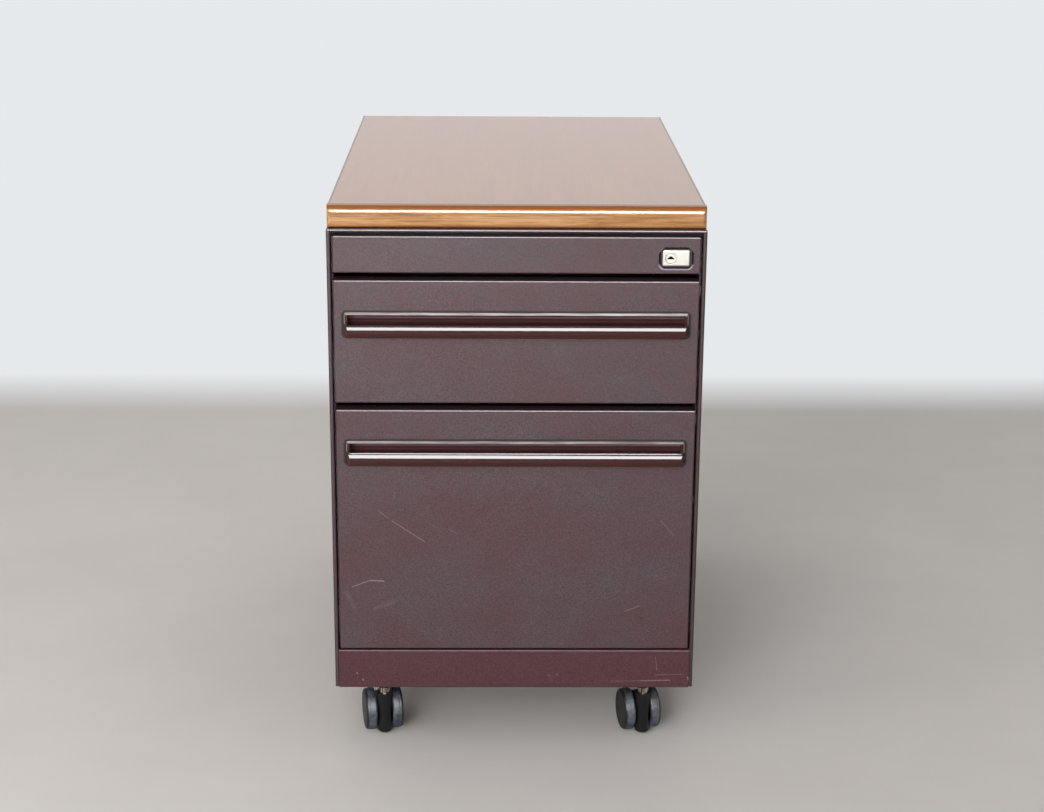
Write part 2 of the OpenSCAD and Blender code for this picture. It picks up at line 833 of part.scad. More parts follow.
// The pressed recess round the lock, sloping inwards, with its corners cut off.
// grow widens it and deeper lengthens it, for the steel behind it.
module recess_shape(grow, deeper, y0) {
    w = recess_w / 2 + grow;
    h = recess_h / 2 + grow;
    floor_y = y_front + recess_d + deeper;
    slope = floor_y - y0;
    intersection() {
        translate([recess_x, 0, 0]) along_z(lock_z - h, lock_z + h)
            polygon([[-w, y0], [w, y0], [w - slope, floor_y], [-w + slope, floor_y]]);
        translate([0, 0, lock_z]) along_x(recess_x - w, recess_x + w)
            polygon([[y0, -h], [y0, h], [floor_y, h - slope], [floor_y, -h + slope]]);
        translate([recess_x, 0, lock_z]) along_y(y0, floor_y) cut_rect(w, h, recess_cut);
    }
}

// ---- handles ----

// Hole in a front's face for the back of the handle
module handle_window(front_top) {
    z1 = front_top - handle_drop;
    half = handle_w / 2 - rim_lap;
    block(-half, half, y_front - touch, y_front + 2 * sheet, z1 - handle_h + rim_lap_z, z1 - rim_lap_z);
}

// Outline of the bar in y and z, from the face of the front: flat above and below, rounded in front
module bar_outline() {
    top = bar_lift + bar_h;
    intersection() {
        translate([bar_r - handle_out, bar_lift + bar_h / 2]) circle(bar_r);
        rect(-handle_out, bar_r - handle_out, bar_lift, top);
    }
    rect(bar_r - handle_out - touch, 0, bar_lift, top);
}

// Outline of the hollow in y and z, grown by the wall round it
module hollow_outline(grow) {
    lip_y = lip_w - handle_out + bar_r - sqrt(bar_r * bar_r - bar_h * bar_h / 4);
    round_rect(lip_y - grow, hollow_d + grow, hollow_z - grow, handle_h - rim_w + grow, hollow_r + grow);
}

// A moulded pull: a bevelled rim on the face, a hollow behind it and a bar across the lower half
module handle(front_top) {
    half = handle_w / 2;
    bar_half = half - handle_end;
    hollow_half = bar_half - bar_end_wall;
    back_half = half - rim_lap - fit_gap;
    back_edge = rim_lap_z + fit_gap;
    color(handle_colour) translate([0, y_front, front_top - handle_drop - handle_h]) difference() {
        union() {
            intersection() {
                along_y(-rim_t, 0) round_rect(-half, half, 0, handle_h, rim_r);
                along_x(-half, half) polygon([[0, 0], [-rim_t, 0], [-rim_t, handle_h - rim_w],
                                              [-rim_edge, handle_h], [0, handle_h]]);
                along_z(0, handle_h) polygon([[-half, 0], [-half, -rim_edge], [handle_end - half, -rim_t],
                                              [half - handle_end, -rim_t], [half, -rim_edge], [half, 0]]);
            }
            intersection() {
                along_x(-bar_half, bar_half) bar_outline();
                along_z(0, handle_h) cut_rect(bar_half, handle_out, bar_bevel);
            }
            intersection() {
                along_x(-back_half, back_half) hollow_outline(hollow_wall);
                block(-half, half, 0, handle_out + front_d, back_edge, handle_h - back_edge);
            }
        }
        along_x(-hollow_half, hollow_half) hollow_outline(0);
    }
}

module box_handle() {
    handle(box_z + box_h);
}

module file_handle() {
    handle(file_z + file_h);
}

// ---- drawer boxes ----

// A drawer folded from sheet: floor, hemmed sides, front and back
module drawer_shell(z0, side_h) {
    y0 = front_back;
    y1 = front_back + shell_len;
    hem_x = shell_x - shell_hem;
    top = z0 + side_h;
    along_y(y0, y1) {
        rect(-shell_x, shell_x, z0, z0 + shell_t);
        both_sides() {
            rect(shell_x - shell_t, shell_x, z0, top);
            rect(hem_x, shell_x, top - shell_t, top);
            rect(hem_x, hem_x + shell_t, top - hem_lip, top);
        }
    }
    block(-shell_x, shell_x, y0, y0 + shell_t, z0, top);
    block(-shell_x, shell_x, y1 - shell_t, y1, z0, top - back_drop);
}

module box_shell() {
    color(steel) drawer_shell(box_z + shell_lift, box_side);
}

module file_shell() {
    color(steel) drawer_shell(file_z + shell_lift, file_side);
}

// An angle on the drawer's right-hand side, which the lock bar's hook stops
module catch(z) {
    color(steel) along_z(z, z + lug_h) {
        rect(shell_x, lug_tip, lug_y, lug_y + lug_t);
        rect(shell_x, shell_x + sheet, lug_y, lug_y + catch_len);
    }
}

module box_catch() {
    catch(box_lug_z);
}

module file_catch() {
    catch(file_lug_z);
}

// Two rails for hanging files, standing on the hems
module hanging_rails() {
    z0 = file_z + shell_lift + file_side;
    x0 = shell_x - shell_hem + shell_t;
    color(steel) both_sides()
        block(x0, x0 + rail_t, front_back + rail_end, front_back + shell_len - rail_end, z0, z0 + rail_h);
}

// Moulded tray with a rim along each side, a long rest for pens and small cells in front
module pencil_tray() {
    y1 = tray_y + tray_len;
    inner_x = tray_x - tray_wall;
    floor_z = tray_z + tray_wall;
    cells_y1 = tray_y + tray_wall + cell_len;
    cell_step = (2 * inner_x + tray_wall) / cell_count;
    color(tray_colour) {
        difference() {
            block(-tray_x, tray_x, tray_y, y1, tray_z, tray_top);
            along_z(floor_z, tray_top + touch) {
                round_rect(-inner_x, inner_x, cells_y1 + tray_wall, y1 - tray_wall, tray_r);
                for (i = [0 : cell_count - 1]) {
                    x0 = -inner_x + i * cell_step;
                    round_rect(x0, x0 + cell_step - tray_wall, tray_y + tray_wall, cells_y1, tray_r);
                }
            }
        }
        for (x = [-tray_x + spacer_in, 0, keeper_x - spacer_in])
            block(x - spacer_w / 2, x + spacer_w / 2, front_back, tray_y, tray_z, tray_top);
    }
}

// Rims that run along the tray's sides, and a lug which the lock bar's fork stops once it is lifted
module tray_rims() {
    color(tray_colour) {
        both_sides() block(tray_x, rim_x, lug_y + lug_t, tray_y + tray_len, rim_z, rim_z + tray_rim_t);
        block(tray_x, lug_tip, lug_y, lug_y + lug_t, pencil_lug_z, rim_z);
    }
}

// ---- lock ----

// Die-cast case: the plate seen in the recess and the barrel behind it
module lock_case() {
    floor_y = y_front + recess_d;
    face_y = floor_y - lock_t;
    far = floor_y + lock_t;
    w = lock_w / 2;
    h = lock_h / 2;
    color(nickel) difference() {
        union() {
            intersection() {
                translate([plate_x, 0, lock_z]) along_y(face_y, floor_y) round_rect(-w, w, -h, h, plate_r);
                translate([plate_x, 0, 0]) along_z(lock_z - h, lock_z + h)
                    round_rect(-w, w, face_y, far, plate_edge_r);
                translate([0, 0, lock_z]) along_x(plate_x - w, plate_x + w)
                    round_rect(face_y, far, -h, h, plate_edge_r);
            }
            translate([lock_x, floor_y, lock_z]) rotate([-90, 0, 0])
                cylinder(d = case_d, h = front_back - floor_y);
        }
        translate([lock_x, face_y - touch, lock_z]) rotate([-90, 0, 0])
            cylinder(d = plug_d + 2 * plug_clear, h = front_back - face_y + 2 * touch);
        translate([lock_x, face_y - touch, lock_z]) rotate([-90, 0, 0])
            cylinder(d = plug_d + 2 * groove_w, h = groove_d + touch);
    }
}

// Turning cylinder with the keyway
module lock_plug() {
    face_y = y_front + recess_d - lock_t - plug_proud;
    r = plug_d / 2;
    len = cam_y - face_y;
    color(nickel) translate([lock_x, face_y, lock_z]) difference() {
        rotate([-90, 0, 0]) rotate_extrude()
            polygon([[0, 0], [r - plug_bevel, 0], [r, plug_bevel], [r, len], [0, len]]);
        along_y(-touch, key_depth) {
            rect(-key_w / 2, key_w / 2, -key_h / 2, key_h / 2);
            intersection() {
                circle(d = key_d);
                rect(-key_d / 2, key_d / 2, 0, key_d);
            }
        }
    }
}

// Disc on the cylinder's end, with the pin that drives the slider
module lock_cam() {
    color(steel) translate([lock_x, cam_y, lock_z]) rotate([-90, 0, 0]) {
        cylinder(r = pin_throw + pin_d / 2 + cam_t, h = cam_t);
        translate([pin_dx, pin_dx, 0]) cylinder(d = pin_d, h = slider_back + fit_gap - cam_y);
    }
}

// Plate that the pin lifts; its tongue lies in the lock bar's fork while the drawer is shut
module lock_slider() {
    slot_half = pin_d / 2 + pin_slack;
    color(steel) difference() {
        along_y(slider_y, slider_back) {
            rect(slider_x0, shell_x - hook_clear, slider_z - slider_half, slider_z + slider_half);
            rect(slider_x0, lug_tip, slider_z - tongue_half, slider_z + tongue_half);
        }
        along_y(slider_y - touch, slider_back + touch)
            rect(lock_x + pin_dx - slot_half, lock_x + pin_throw + slot_half,
                 slider_z - slot_half, slider_z + slot_half);
    }
}

// Flat bar inside the right-hand side, which slides up and down
module lock_bar() {
    color(steel) block(lockbar_x, lockbar_x + lockbar_t, lockbar_y, lockbar_y + lockbar_w,
                       file_lug_z - hook_gap - 2 * hook_h, fork_top);
}

// Tabs on that bar. The upper two are the fork that takes the slider's tongue and, once lifted,
// stops the pencil drawer; the hooks stop the other two drawers.
module lock_tabs() {
    color(steel) along_y(hook_y, hook_y + hook_t) {
        rect(hook_x, lockbar_x, slider_z + fork_half, fork_top);
        rect(hook_x, lockbar_x, slider_z - fork_half - fork_tab, slider_z - fork_half);
        for (z = [box_lug_z, file_lug_z]) rect(hook_x, lockbar_x, z - hook_gap - hook_h, z - hook_gap);
    }
}

// Two clips that hold the lock bar to the side and let it slide
module lock_guides() {
    x0 = lockbar_x - fit_gap;
    y0 = lockbar_y - fit_gap;
    y1 = lockbar_y + lockbar_w + fit_gap;
    color(steel) for (z = [box_z - front_gap, box_z + box_h]) difference() {
        block(x0 - sheet, inner_w, y_front + strip_d, y1 + sheet, z - 2 * guide_h, z - guide_h);
        block(x0, half_w, y0, y1, z - 3 * guide_h, z);
    }
}

// ---- wooden top ----

module top_board() {
    color(veneer) difference() {
        block(-top_half + side_edging_w, top_half - side_edging_w, core_y0, core_y1, cab_top, top_z1);
        for (s = [-1, 1], p = top_screw_places) translate([s * top_screw_x, p, cab_top - touch])
            cylinder(d = top_screw_d, h = top_screw_depth + touch);
    }
}

// Solid wood along the front, its long edges and its corners rounded
module front_edging() {
    far = core_y0 + 2 * top_corner_r;
    color(wood) intersection() {
        along_z(cab_top, top_z1) round_rect(-top_half, top_half, y_front, far, top_corner_r);
        along_x(-top_half, top_half) round_rect(y_front, far, cab_top, top_z1, arris_r);
        block(-top_half, top_half, y_front, core_y0, cab_top, top_z1);
    }
}

module back_edging() {
    color(wood) intersection() {
        along_x(-top_half, top_half)
            round_rect(core_y1 - 2 * side_arris_r, y_back, cab_top, top_z1, side_arris_r);
        block(-top_half, top_half, core_y1, y_back, cab_top, top_z1);
    }
}

module side_edgings() {
    x0 = top_half - side_edging_w;
    color(wood) both_sides() intersection() {
        along_y(core_y0, core_y1)
            round_rect(x0 - 2 * side_arris_r, top_half, cab_top, top_z1, side_arris_r);
        block(x0, top_half, core_y0, core_y1, cab_top, top_z1);
    }
}

// Screws up through the cap into the board, with countersunk heads
module top_screws() {
    head_h = top_screw_d / 2;
    seat = cab_top - sheet;
    color(steel) for (s = [-1, 1], p = top_screw_places) translate([s * top_screw_x, p, seat]) {
        cylinder(d = top_screw_d, h = sheet + top_screw_depth);
        translate([0, 0, -head_h]) cylinder(d1 = top_screw_d + head_h, d2 = 2 * top_screw_d, h = head_h);
    }
}

// ---- castors ----

// Puts a castor part, drawn about the stem with the wheels behind it, in its place
module at_castor(place) {
    translate([place[0], place[1], 0]) rotate([0, 0, place[2]]) children();
}

// Moulded body: a round post in front, a cheek between the wheels and a boss for the axle
module yoke(place) {
    cheek = cheek_t / 2;
    boss_reach = wheel_x - fit_gap;
    foot_z = yoke_gap + yoke_bevel;
    axle_reach = wheel_w + wheel_x;
    color(plastic) at_castor(place) difference() {
        union() {
            translate([0, 0, foot_z]) cylinder(d = post_d, h = yoke_h - foot_z);
            translate([0, 0, yoke_gap]) cylinder(d1 = post_d - 2 * yoke_bevel, d2 = post_d, h = yoke_bevel);
            along_x(-cheek, cheek) {
                translate([trail, wheel_r]) circle(wheel_r - yoke_gap);
                polygon([[0, foot_z], [trail, foot_z], [trail + cheek_back, wheel_r + cheek_top],
                         [post_d / 2, yoke_h], [0, yoke_h]]);
            }
            translate([-boss_reach, trail, wheel_r]) rotate([0, 90, 0])
                cylinder(d = axle_d + 2 * boss_wall, h = 2 * boss_reach);
        }
        translate([0, 0, yoke_h - stem_seat]) cylinder(d = stem_d, h = stem_seat + touch);
        translate([-axle_reach, trail, wheel_r]) rotate([0, 90, 0])
            cylinder(d = axle_d, h = 2 * axle_reach);
    }
}

// Steel stem with a collar on the castor's body
module stem(place) {
    bevel = (collar_d - stem_d) / 2;
    foot_z = yoke_h - stem_seat;
    color(nickel) at_castor(place) {
        translate([0, 0, foot_z]) cylinder(d = stem_d, h = socket_top - stem_short - foot_z);
        translate([0, 0, yoke_h]) cylinder(d = collar_d, h = collar_h);
        translate([0, 0, yoke_h + collar_h]) cylinder(d1 = collar_d, d2 = stem_d, h = bevel);
    }
}

module axle(place) {
    reach = wheel_x + wheel_w - disc_t - castor_clear;
    color(steel) at_castor(place) translate([-reach, trail, wheel_r]) rotate([0, 90, 0])
        cylinder(d = axle_d, h = 2 * reach);
}

// One wheel: round-edged tread, sunken disc and hub; side is -1 for the left one, 1 for the right
module wheel(place, side) {
    cover_x = wheel_w - cover_w;
    disc_x = wheel_w - disc_t;
    cover_end = wheel_r - cover_in;
    rim_x = wheel_r - tread_t;
    color(plastic) at_castor(place) translate([side * wheel_x, trail, wheel_r])
        rotate([0, side * 90, 0]) rotate_extrude() {
            round_rect(rim_x, wheel_r, 0, cover_x, tread_r);
            intersection() {
                round_rect(-cover_end, cover_end, wheel_w - 2 * cover_end, wheel_w, cover_r);
                union() {
                    rect(rim_x, cover_end, cover_x - tread_r, wheel_w);
                    rect(0, rim_x + touch, disc_x, wheel_w);
                }
            }
            rect(axle_d / 2 + castor_clear, axle_d / 2 + hub_wall, 0, disc_x + touch);
        }
}

side_panel_left();
side_panel_right();
back_panel();
top_cap();
front_rail();
base_pan();
plinth_rail();
slide_posts();
outer_slides();
pencil_runners();
ballast();
castor_sockets();
lock_guides();
top_board();
front_edging();
back_edging();
side_edgings();
top_screws();
lock_bar();
lock_tabs();
pencil_front();
pencil_tray();
tray_rims();
lock_case();
lock_plug();
lock_cam();
lock_slider();
box_front();
box_shell();
box_catch();
box_handle();
box_inner_slides();
box_middle_slides();
file_front();
file_shell();
file_catch();
file_handle();
file_inner_slides();
file_middle_slides();
hanging_rails();
yoke(FRONT_LEFT);  // yoke_front_left
stem(FRONT_LEFT);  // stem_front_left
axle(FRONT_LEFT);  // axle_front_left
wheel(FRONT_LEFT, -1);  // wheel_front_left_outer
wheel(FRONT_LEFT, 1);  // wheel_front_left_inner
yoke(FRONT_RIGHT);  // yoke_front_right
stem(FRONT_RIGHT);  // stem_front_right
axle(FRONT_RIGHT);  // axle_front_right
wheel(FRONT_RIGHT, 1);  // wheel_front_right_outer
wheel(FRONT_RIGHT, -1);  // wheel_front_right_inner
yoke(REAR_LEFT);  // yoke_rear_left
stem(REAR_LEFT);  // stem_rear_left
axle(REAR_LEFT);  // axle_rear_left
wheel(REAR_LEFT, -1);  // wheel_rear_left_outer
wheel(REAR_LEFT, 1);  // wheel_rear_left_inner
yoke(REAR_RIGHT);  // yoke_rear_right
stem(REAR_RIGHT);  // stem_rear_right
axle(REAR_RIGHT);  // axle_rear_right
wheel(REAR_RIGHT, 1);  // wheel_rear_right_outer
wheel(REAR_RIGHT, -1);  // wheel_rear_right_inner
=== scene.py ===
"""Dresses the mobile pedestal: finishes for every piece, small fittings, floor, lights and camera."""
import json
import math

import bmesh
import bpy
from bpy.props import FloatProperty, FloatVectorProperty, PointerProperty
from bpy.types import Node, NodeSocket, Operator, Panel, PropertyGroup
from mathutils import Matrix, Vector


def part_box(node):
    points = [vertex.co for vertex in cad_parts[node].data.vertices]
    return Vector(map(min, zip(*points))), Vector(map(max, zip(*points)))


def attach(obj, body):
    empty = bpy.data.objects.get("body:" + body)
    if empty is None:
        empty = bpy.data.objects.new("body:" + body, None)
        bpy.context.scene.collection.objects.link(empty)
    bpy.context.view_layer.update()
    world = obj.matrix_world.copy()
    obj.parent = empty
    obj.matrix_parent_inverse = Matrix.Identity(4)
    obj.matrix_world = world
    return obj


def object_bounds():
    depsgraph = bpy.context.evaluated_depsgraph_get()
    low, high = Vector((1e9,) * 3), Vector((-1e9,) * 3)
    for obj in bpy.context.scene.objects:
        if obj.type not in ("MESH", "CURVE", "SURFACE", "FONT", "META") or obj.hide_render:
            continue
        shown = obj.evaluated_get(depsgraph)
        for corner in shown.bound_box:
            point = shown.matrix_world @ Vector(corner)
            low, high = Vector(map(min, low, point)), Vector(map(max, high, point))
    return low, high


bl_info = {
    "name": "Mobile pedestal",
    "version": (1, 0, 0),
    "blender": (4, 5, 0),
    "location": "3D View > Sidebar > Pedestal",
    "description": "Finishes and fittings of a steel office pedestal, with a floor, lights and a camera",
    "category": "Object",
}

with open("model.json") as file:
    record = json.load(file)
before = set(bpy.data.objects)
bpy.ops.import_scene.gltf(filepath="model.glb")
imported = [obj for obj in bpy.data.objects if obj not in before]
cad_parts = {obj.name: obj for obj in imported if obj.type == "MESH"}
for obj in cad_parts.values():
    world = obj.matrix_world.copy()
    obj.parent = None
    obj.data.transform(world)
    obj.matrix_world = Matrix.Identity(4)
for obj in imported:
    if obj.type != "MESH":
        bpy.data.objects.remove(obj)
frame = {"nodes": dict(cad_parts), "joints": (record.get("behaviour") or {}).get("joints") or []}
CAD_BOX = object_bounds()
NODES = frame["nodes"]
MM = 0.001

# The foremost, rightmost and highest points of the whole part, in metres
FRONT, RIGHT, TOP = CAD_BOX[0].y, CAD_BOX[1].x, CAD_BOX[1].z

# Settings of a node that mixes two colours, and of one that multiplies a colour by a level
BLEND = {"data_type": "RGBA"}
SHADE = {"data_type": "RGBA", "blend_type": "MULTIPLY"}

# The range that most of a noise pattern lies in, as the inputs of a MapRange node
MOST = {1: 0.3, 2: 0.7}


def linear(code):
    """Turns an sRGB hex colour into linear red, green, blue and alpha."""
    values = [int(code[i : i + 2], 16) / 255 for i in (1, 3, 5)]
    return tuple(v / 12.92 if v <= 0.04045 else ((v + 0.055) / 1.055) ** 2.4 for v in values) + (1.0,)


def colour(label, code):
    """A colour that a user can change, given as sRGB hex."""
    return FloatVectorProperty(name=label, description=f"{label}, as it looks in plain light",
                               subtype="COLOR", size=4, min=0, max=1, default=linear(code))


def length(label, description, millimetres, smallest=0.01):
    """A length that a user can change, given in millimetres and kept in metres."""
    return FloatProperty(name=label, description=description, default=millimetres * MM,
                         min=smallest * MM, unit="LENGTH", precision=4)


def angle(label, description, degrees):
    """An angle that a user can change, given in degrees and kept in radians."""
    return FloatProperty(name=label, description=description, default=math.radians(degrees), subtype="ANGLE")


# ---- sizes and colours that a user would change ----


class PedestalPaint(PropertyGroup):
    front: colour("Paint of the fronts", "#47383d")
    front_warm: colour("Rubbed paint of the fronts", "#48292e")
    side: colour("Paint of the sides", "#47353a")
    side_warm: colour("Rubbed paint of the sides", "#482d32")
    plinth: colour("Paint of the plinth", "#4a2a2e")
    inside: colour("Paint of the drawer boxes", "#443436")
    scuff: colour("Scuffs in the paint", "#9a8a8b")
    grain: length("Powder grain", "Width of one dimple of the powder coat", 1.6)
    patch: length("Rubbed patches", "Height of a patch that hands and knees have rubbed", 80)


class PedestalWood(PropertyGroup):
    veneer_light: colour("Light grain of the veneer", "#cf7c38")
    veneer_dark: colour("Dark grain of the veneer", "#bd7032")
    edging_light: colour("Light grain of the edging", "#c39566")
    edging_dark: colour("Dark grain of the edging", "#95612e")
    # The deep orange of the painted shade on the edging's arris and lower edge
    edging_deep: colour("Lacquer on the edging's arris", "#a05c22")
    grain: length("Wood grain", "Width of a line of the grain", 1.3)


class PedestalTrim(PropertyGroup):
    handle: colour("Plastic of the handles", "#381814")
    hollow: colour("Worn plastic in the hollows", "#48292a")
    tray: colour("Plastic of the tray", "#7b7875")
    nickel: colour("Nickel of the lock", "#a9a69e")
    castor: colour("Nylon of the castors", "#0f0f11")
    tread: colour("Tread of the wheels", "#50565d")
    tread_width: length("Grey tread", "Width of the part of a wheel that is greyed by the floor", 10.5)


class PedestalStage(PropertyGroup):
    distance: length("Camera distance", "Distance of the camera in front of the drawers", 2145.2)
    aside: length("Camera aside", "Place of the camera to the right of the middle", -26.35, smallest=-5000)
    height: length("Camera height", "Height of the camera above the floor", 1070.8)
    pitch: angle("Pitch", "Downward tilt of the camera", 16.946)
    yaw: angle("Yaw", "Turn of the camera to the right", 0.889)
    roll: angle("Roll", "Roll of the camera", -0.424)
    lens: FloatProperty(name="Lens", description="Focal length on a 36 mm sensor", default=68.56, unit="CAMERA")
    front_y: FloatProperty(name="Front plane", description="Place of the drawer fronts from front to back",
                           default=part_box("file_front")[0].y, unit="LENGTH", precision=4)
    floor: colour("Floor near the pedestal", "#e3ddd6")
    far: colour("Floor and air far away", "#e6e9eb")


# Single scratches: start and end in millimetres across and up, width in millimetres, and strength
FRONT_SCRATCHES = (
    (-156.7, 291.1, -146.0, 282.5, 1.0, 0.45),
    (-141.5, 278.9, -104.3, 253.7, 1.0, 0.6),
    (-188.1, 197.5, -167.5, 205.5, 1.4, 0.55),
    (-167.5, 205.5, -151.6, 204.6, 1.6, 0.8),
    (-162.5, 171.0, -140.5, 177.6, 6.0, 0.1),
    (-195.0, 190.0, -186.0, 172.0, 7.0, 0.08),
    (128.2, 167.3, 145.1, 174.1, 1.0, 0.5),
    (168.3, 278.9, 183.2, 261.5, 2.4, 0.16),
)
PLINTH_SCRATCHES = (
    (166.0, 109.3, 167.9, 92.8, 1.2, 0.35),
    (-184.6, 89.1, -183.9, 87.8, 1.8, 0.7),
    (-177.9, 80.9, -177.2, 79.4, 1.8, 0.8),
    (40.6, 86.3, 41.5, 85.0, 1.6, 0.5),
    (50.0, 87.5, 51.2, 86.8, 1.8, 0.55),
    (114.0, 78.4, 150.0, 79.0, 1.0, 0.4),
    (150.0, 79.0, 183.6, 79.7, 1.6, 0.6),
    (166.6, 86.6, 200.1, 87.4, 1.2, 0.3),
    (204.4, 83.8, 205.6, 79.7, 2.0, 0.9),
)


# ---- node and mesh helpers ----


def add(tree, kind, inputs=None, **settings):
    """Adds a node, sets its properties, and sets or links its inputs. A node given as an input is linked
    by the output that it has in use. MapRange carries input 0 from the range 1 to 2 into the range 3 to 4,
    and stops at its ends. A Mix of colours has its share at 0 and its colours at 6 and 7."""
    node = tree.nodes.new("ShaderNode" + kind)
    for key, value in settings.items():
        setattr(node, key, value)
    for key, value in (inputs or {}).items():
        if isinstance(value, Node):
            value = next(output for output in value.outputs if output.enabled)
        if isinstance(value, NodeSocket):
            tree.links.new(value, node.inputs[key])
        else:
            node.inputs[key].default_value = value
    return node


def new_material(name):
    """An empty material and its node tree."""
    material = bpy.data.materials.new(name)
    material.use_nodes = True
    material.node_tree.nodes.clear()
    return material, material.node_tree


def finish(tree, **shader):
    """Ends a material with a Principled shader, whose inputs are given by name."""
    surface = add(tree, "BsdfPrincipled", {key.replace("_", " "): value for key, value in shader.items()})
    add(tree, "OutputMaterial", {"Surface": surface})


def place_in_mm(tree, *sizes):
    """The place on the object in millimetres, divided by a size along each axis or by one size for all."""
    along = sizes * 3 if len(sizes) == 1 else sizes or (1, 1, 1)
    place = add(tree, "TexCoord").outputs["Object"]
    return add(tree, "VectorMath", {0: place, 1: [1 / (size * MM) for size in along]}, operation="MULTIPLY")


def place_on_axes(tree):
    """The place on the object in metres, as its x, y and z."""
    return add(tree, "SeparateXYZ", {0: add(tree, "TexCoord").outputs["Object"]}).outputs


def distance_from(tree, value, level):
    """How far a value lies from a level, whichever way."""
    off = add(tree, "Math", {0: value, 1: level}, operation="SUBTRACT")
    return add(tree, "Math", {0: off}, operation="ABSOLUTE")


def dress(material, *names):
    """Gives a material to CAD nodes."""
    for name in names:
        data = NODES[name].data
        if not data.materials:
            data.materials.append(material)
        for slot in NODES[name].material_slots:
            slot.material = material


def piece(name, mesh, material, body):
    """Turns a bmesh into an object that rides on a body."""
    data = bpy.data.meshes.new(name)
    mesh.to_mesh(data)
    mesh.free()
    data.materials.append(material)
    obj = bpy.data.objects.new(name, data)
    bpy.context.scene.collection.objects.link(obj)
    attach(obj, body)


def lathe(mesh, outline, place, axis, sides):
    """Turns an outline of (radius, height) pairs about an axis through a place."""
    turn = Vector((0, 0, 1)).rotation_difference(Vector(axis)).to_matrix()
    loops = []
    for radius, height in outline:
        loop = []
        for i in range(sides):
            around = 2 * math.pi * i / sides
            point = Vector((radius * math.cos(around), radius * math.sin(around), height))
            loop.append(mesh.verts.new(turn @ point + Vector(place)))
        loops.append(loop)
    for low, high in zip(loops, loops[1:]):
        for i in range(sides):
            j = (i + 1) % sides
            mesh.faces.new((low[i], low[j], high[j], high[i]))
    mesh.faces.new(list(reversed(loops[0])))
    mesh.faces.new(loops[-1])


# ---- wear that a finish carries ----


def drawn_scratches(tree, marks):
    """Single scratches on the front, each a soft line between two points, broken by the grit that cut it."""
    grit, core, edge = 1.2, 0.05, 0.6
    flat = add(tree, "VectorMath", {0: place_in_mm(tree), 1: (1, 0, 1)}, operation="MULTIPLY")
    rough = add(tree, "TexNoise", {"Vector": place_in_mm(tree, grit), "Scale": 1, "Detail": 2, "Roughness": 0.6})
    broken = add(tree, "MapRange", {0: rough, 1: 0.36, 2: 0.56, 3: 0.25, 4: 1})
    total = 0
    for x0, z0, x1, z1, width, strength in marks:
        start = Vector((x0, 0, z0))
        way = Vector((x1, 0, z1)) - start
        off = add(tree, "VectorMath", {0: flat, 1: start}, operation="SUBTRACT")
        along = add(tree, "VectorMath", {0: off, 1: way}, operation="DOT_PRODUCT")
        share = add(tree, "MapRange", {0: along, 1: 0, 2: way.length_squared})
        nearest = add(tree, "VectorMath", {0: way, "Scale": share}, operation="SCALE")
        gap = add(tree, "VectorMath", {0: off, 1: nearest}, operation="DISTANCE")
        line = add(tree, "MapRange", {0: gap, 1: width * core, 2: width * edge, 3: strength, 4: 0})
        total = add(tree, "Math", {0: total, 1: line}, operation="MAXIMUM")
    return add(tree, "Math", {0: total, 1: broken}, operation="MULTIPLY")


def scattered_scratches(tree, wear):
    """Short thin streaks at a few slants, gathered in loose groups. Wear is the share of them that shows.
    A real streak is 0.1 mm wide. It is drawn 0.9 mm wide, so that it shows."""
    streak_length, streak_width = 26, 0.9
    total = 0
    for slant, offset in ((0.35, 3.1), (-0.5, 17.7), (1.2, 41.3)):
        place = add(tree, "TexCoord").outputs["Object"]
        turned = add(tree, "VectorRotate", {"Vector": place, "Angle": slant}, rotation_type="Y_AXIS")
        scale = [1 / (size * MM) for size in (streak_length, streak_length, streak_width)]
        thin = add(tree, "VectorMath", {0: turned, 1: scale}, operation="MULTIPLY")
        thin = add(tree, "VectorMath", {0: thin, 1: (offset, offset, offset)}, operation="ADD")
        thin = add(tree, "TexNoise", {"Vector": thin, "Scale": 1, "Detail": 1, "Roughness": 0.4})
        streak = add(tree, "MapRange", {0: thin, 1: 0.77, 2: 0.8})
        loose = place_in_mm(tree, 70, 70, 50)
        loose = add(tree, "VectorMath", {0: loose, 1: (offset, 0, offset)}, operation="ADD")
        loose = add(tree, "TexNoise", {"Vector": loose, "Scale": 1, "Detail": 2, "Roughness": 0.5})
        group = add(tree, "MapRange", {0: loose, 1: 0.6 - 0.1 * wear, 2: 0.7 - 0.1 * wear})
        shown = add(tree, "Math", {0: streak, 1: group}, operation="MULTIPLY")
        total = add(tree, "Math", {0: total, 1: shown}, operation="MAXIMUM")
    return add(tree, "Math", {0: total, 1: min(1, 0.7 * wear)}, operation="MULTIPLY")


def beyond(tree, low, high, radius):
    """Millimetres, in the plane of the fronts, from a rectangle that lies a corner radius inside a box."""
    middle = (low + high) / 2 / MM
    half = (high - low) / 2 / MM
    inner = Vector((half.x - radius, 0, half.z - radius))
    past = add(tree, "VectorMath", {0: place_in_mm(tree), 1: middle}, operation="SUBTRACT")
    past = add(tree, "VectorMath", {0: past}, operation="ABSOLUTE")
    past = add(tree, "VectorMath", {0: past, 1: inner}, operation="SUBTRACT")
    past = add(tree, "VectorMath", {0: past, 1: (0, 0, 0)}, operation="MAXIMUM")
    past = add(tree, "VectorMath", {0: past, 1: (1, 0, 1)}, operation="MULTIPLY")
    return add(tree, "VectorMath", {0: past}, operation="LENGTH")


def ring(tree, away, start, full, fade, end, strength):
    """A line that follows a rounded rectangle, between distances that beyond gives."""
    rise = add(tree, "MapRange", {0: away, 1: start, 2: full})
    fall = add(tree, "MapRange", {0: away, 1: fade, 2: end, 3: strength, 4: 0})
    return add(tree, "Math", {0: rise, 1: fall}, operation="MULTIPLY")


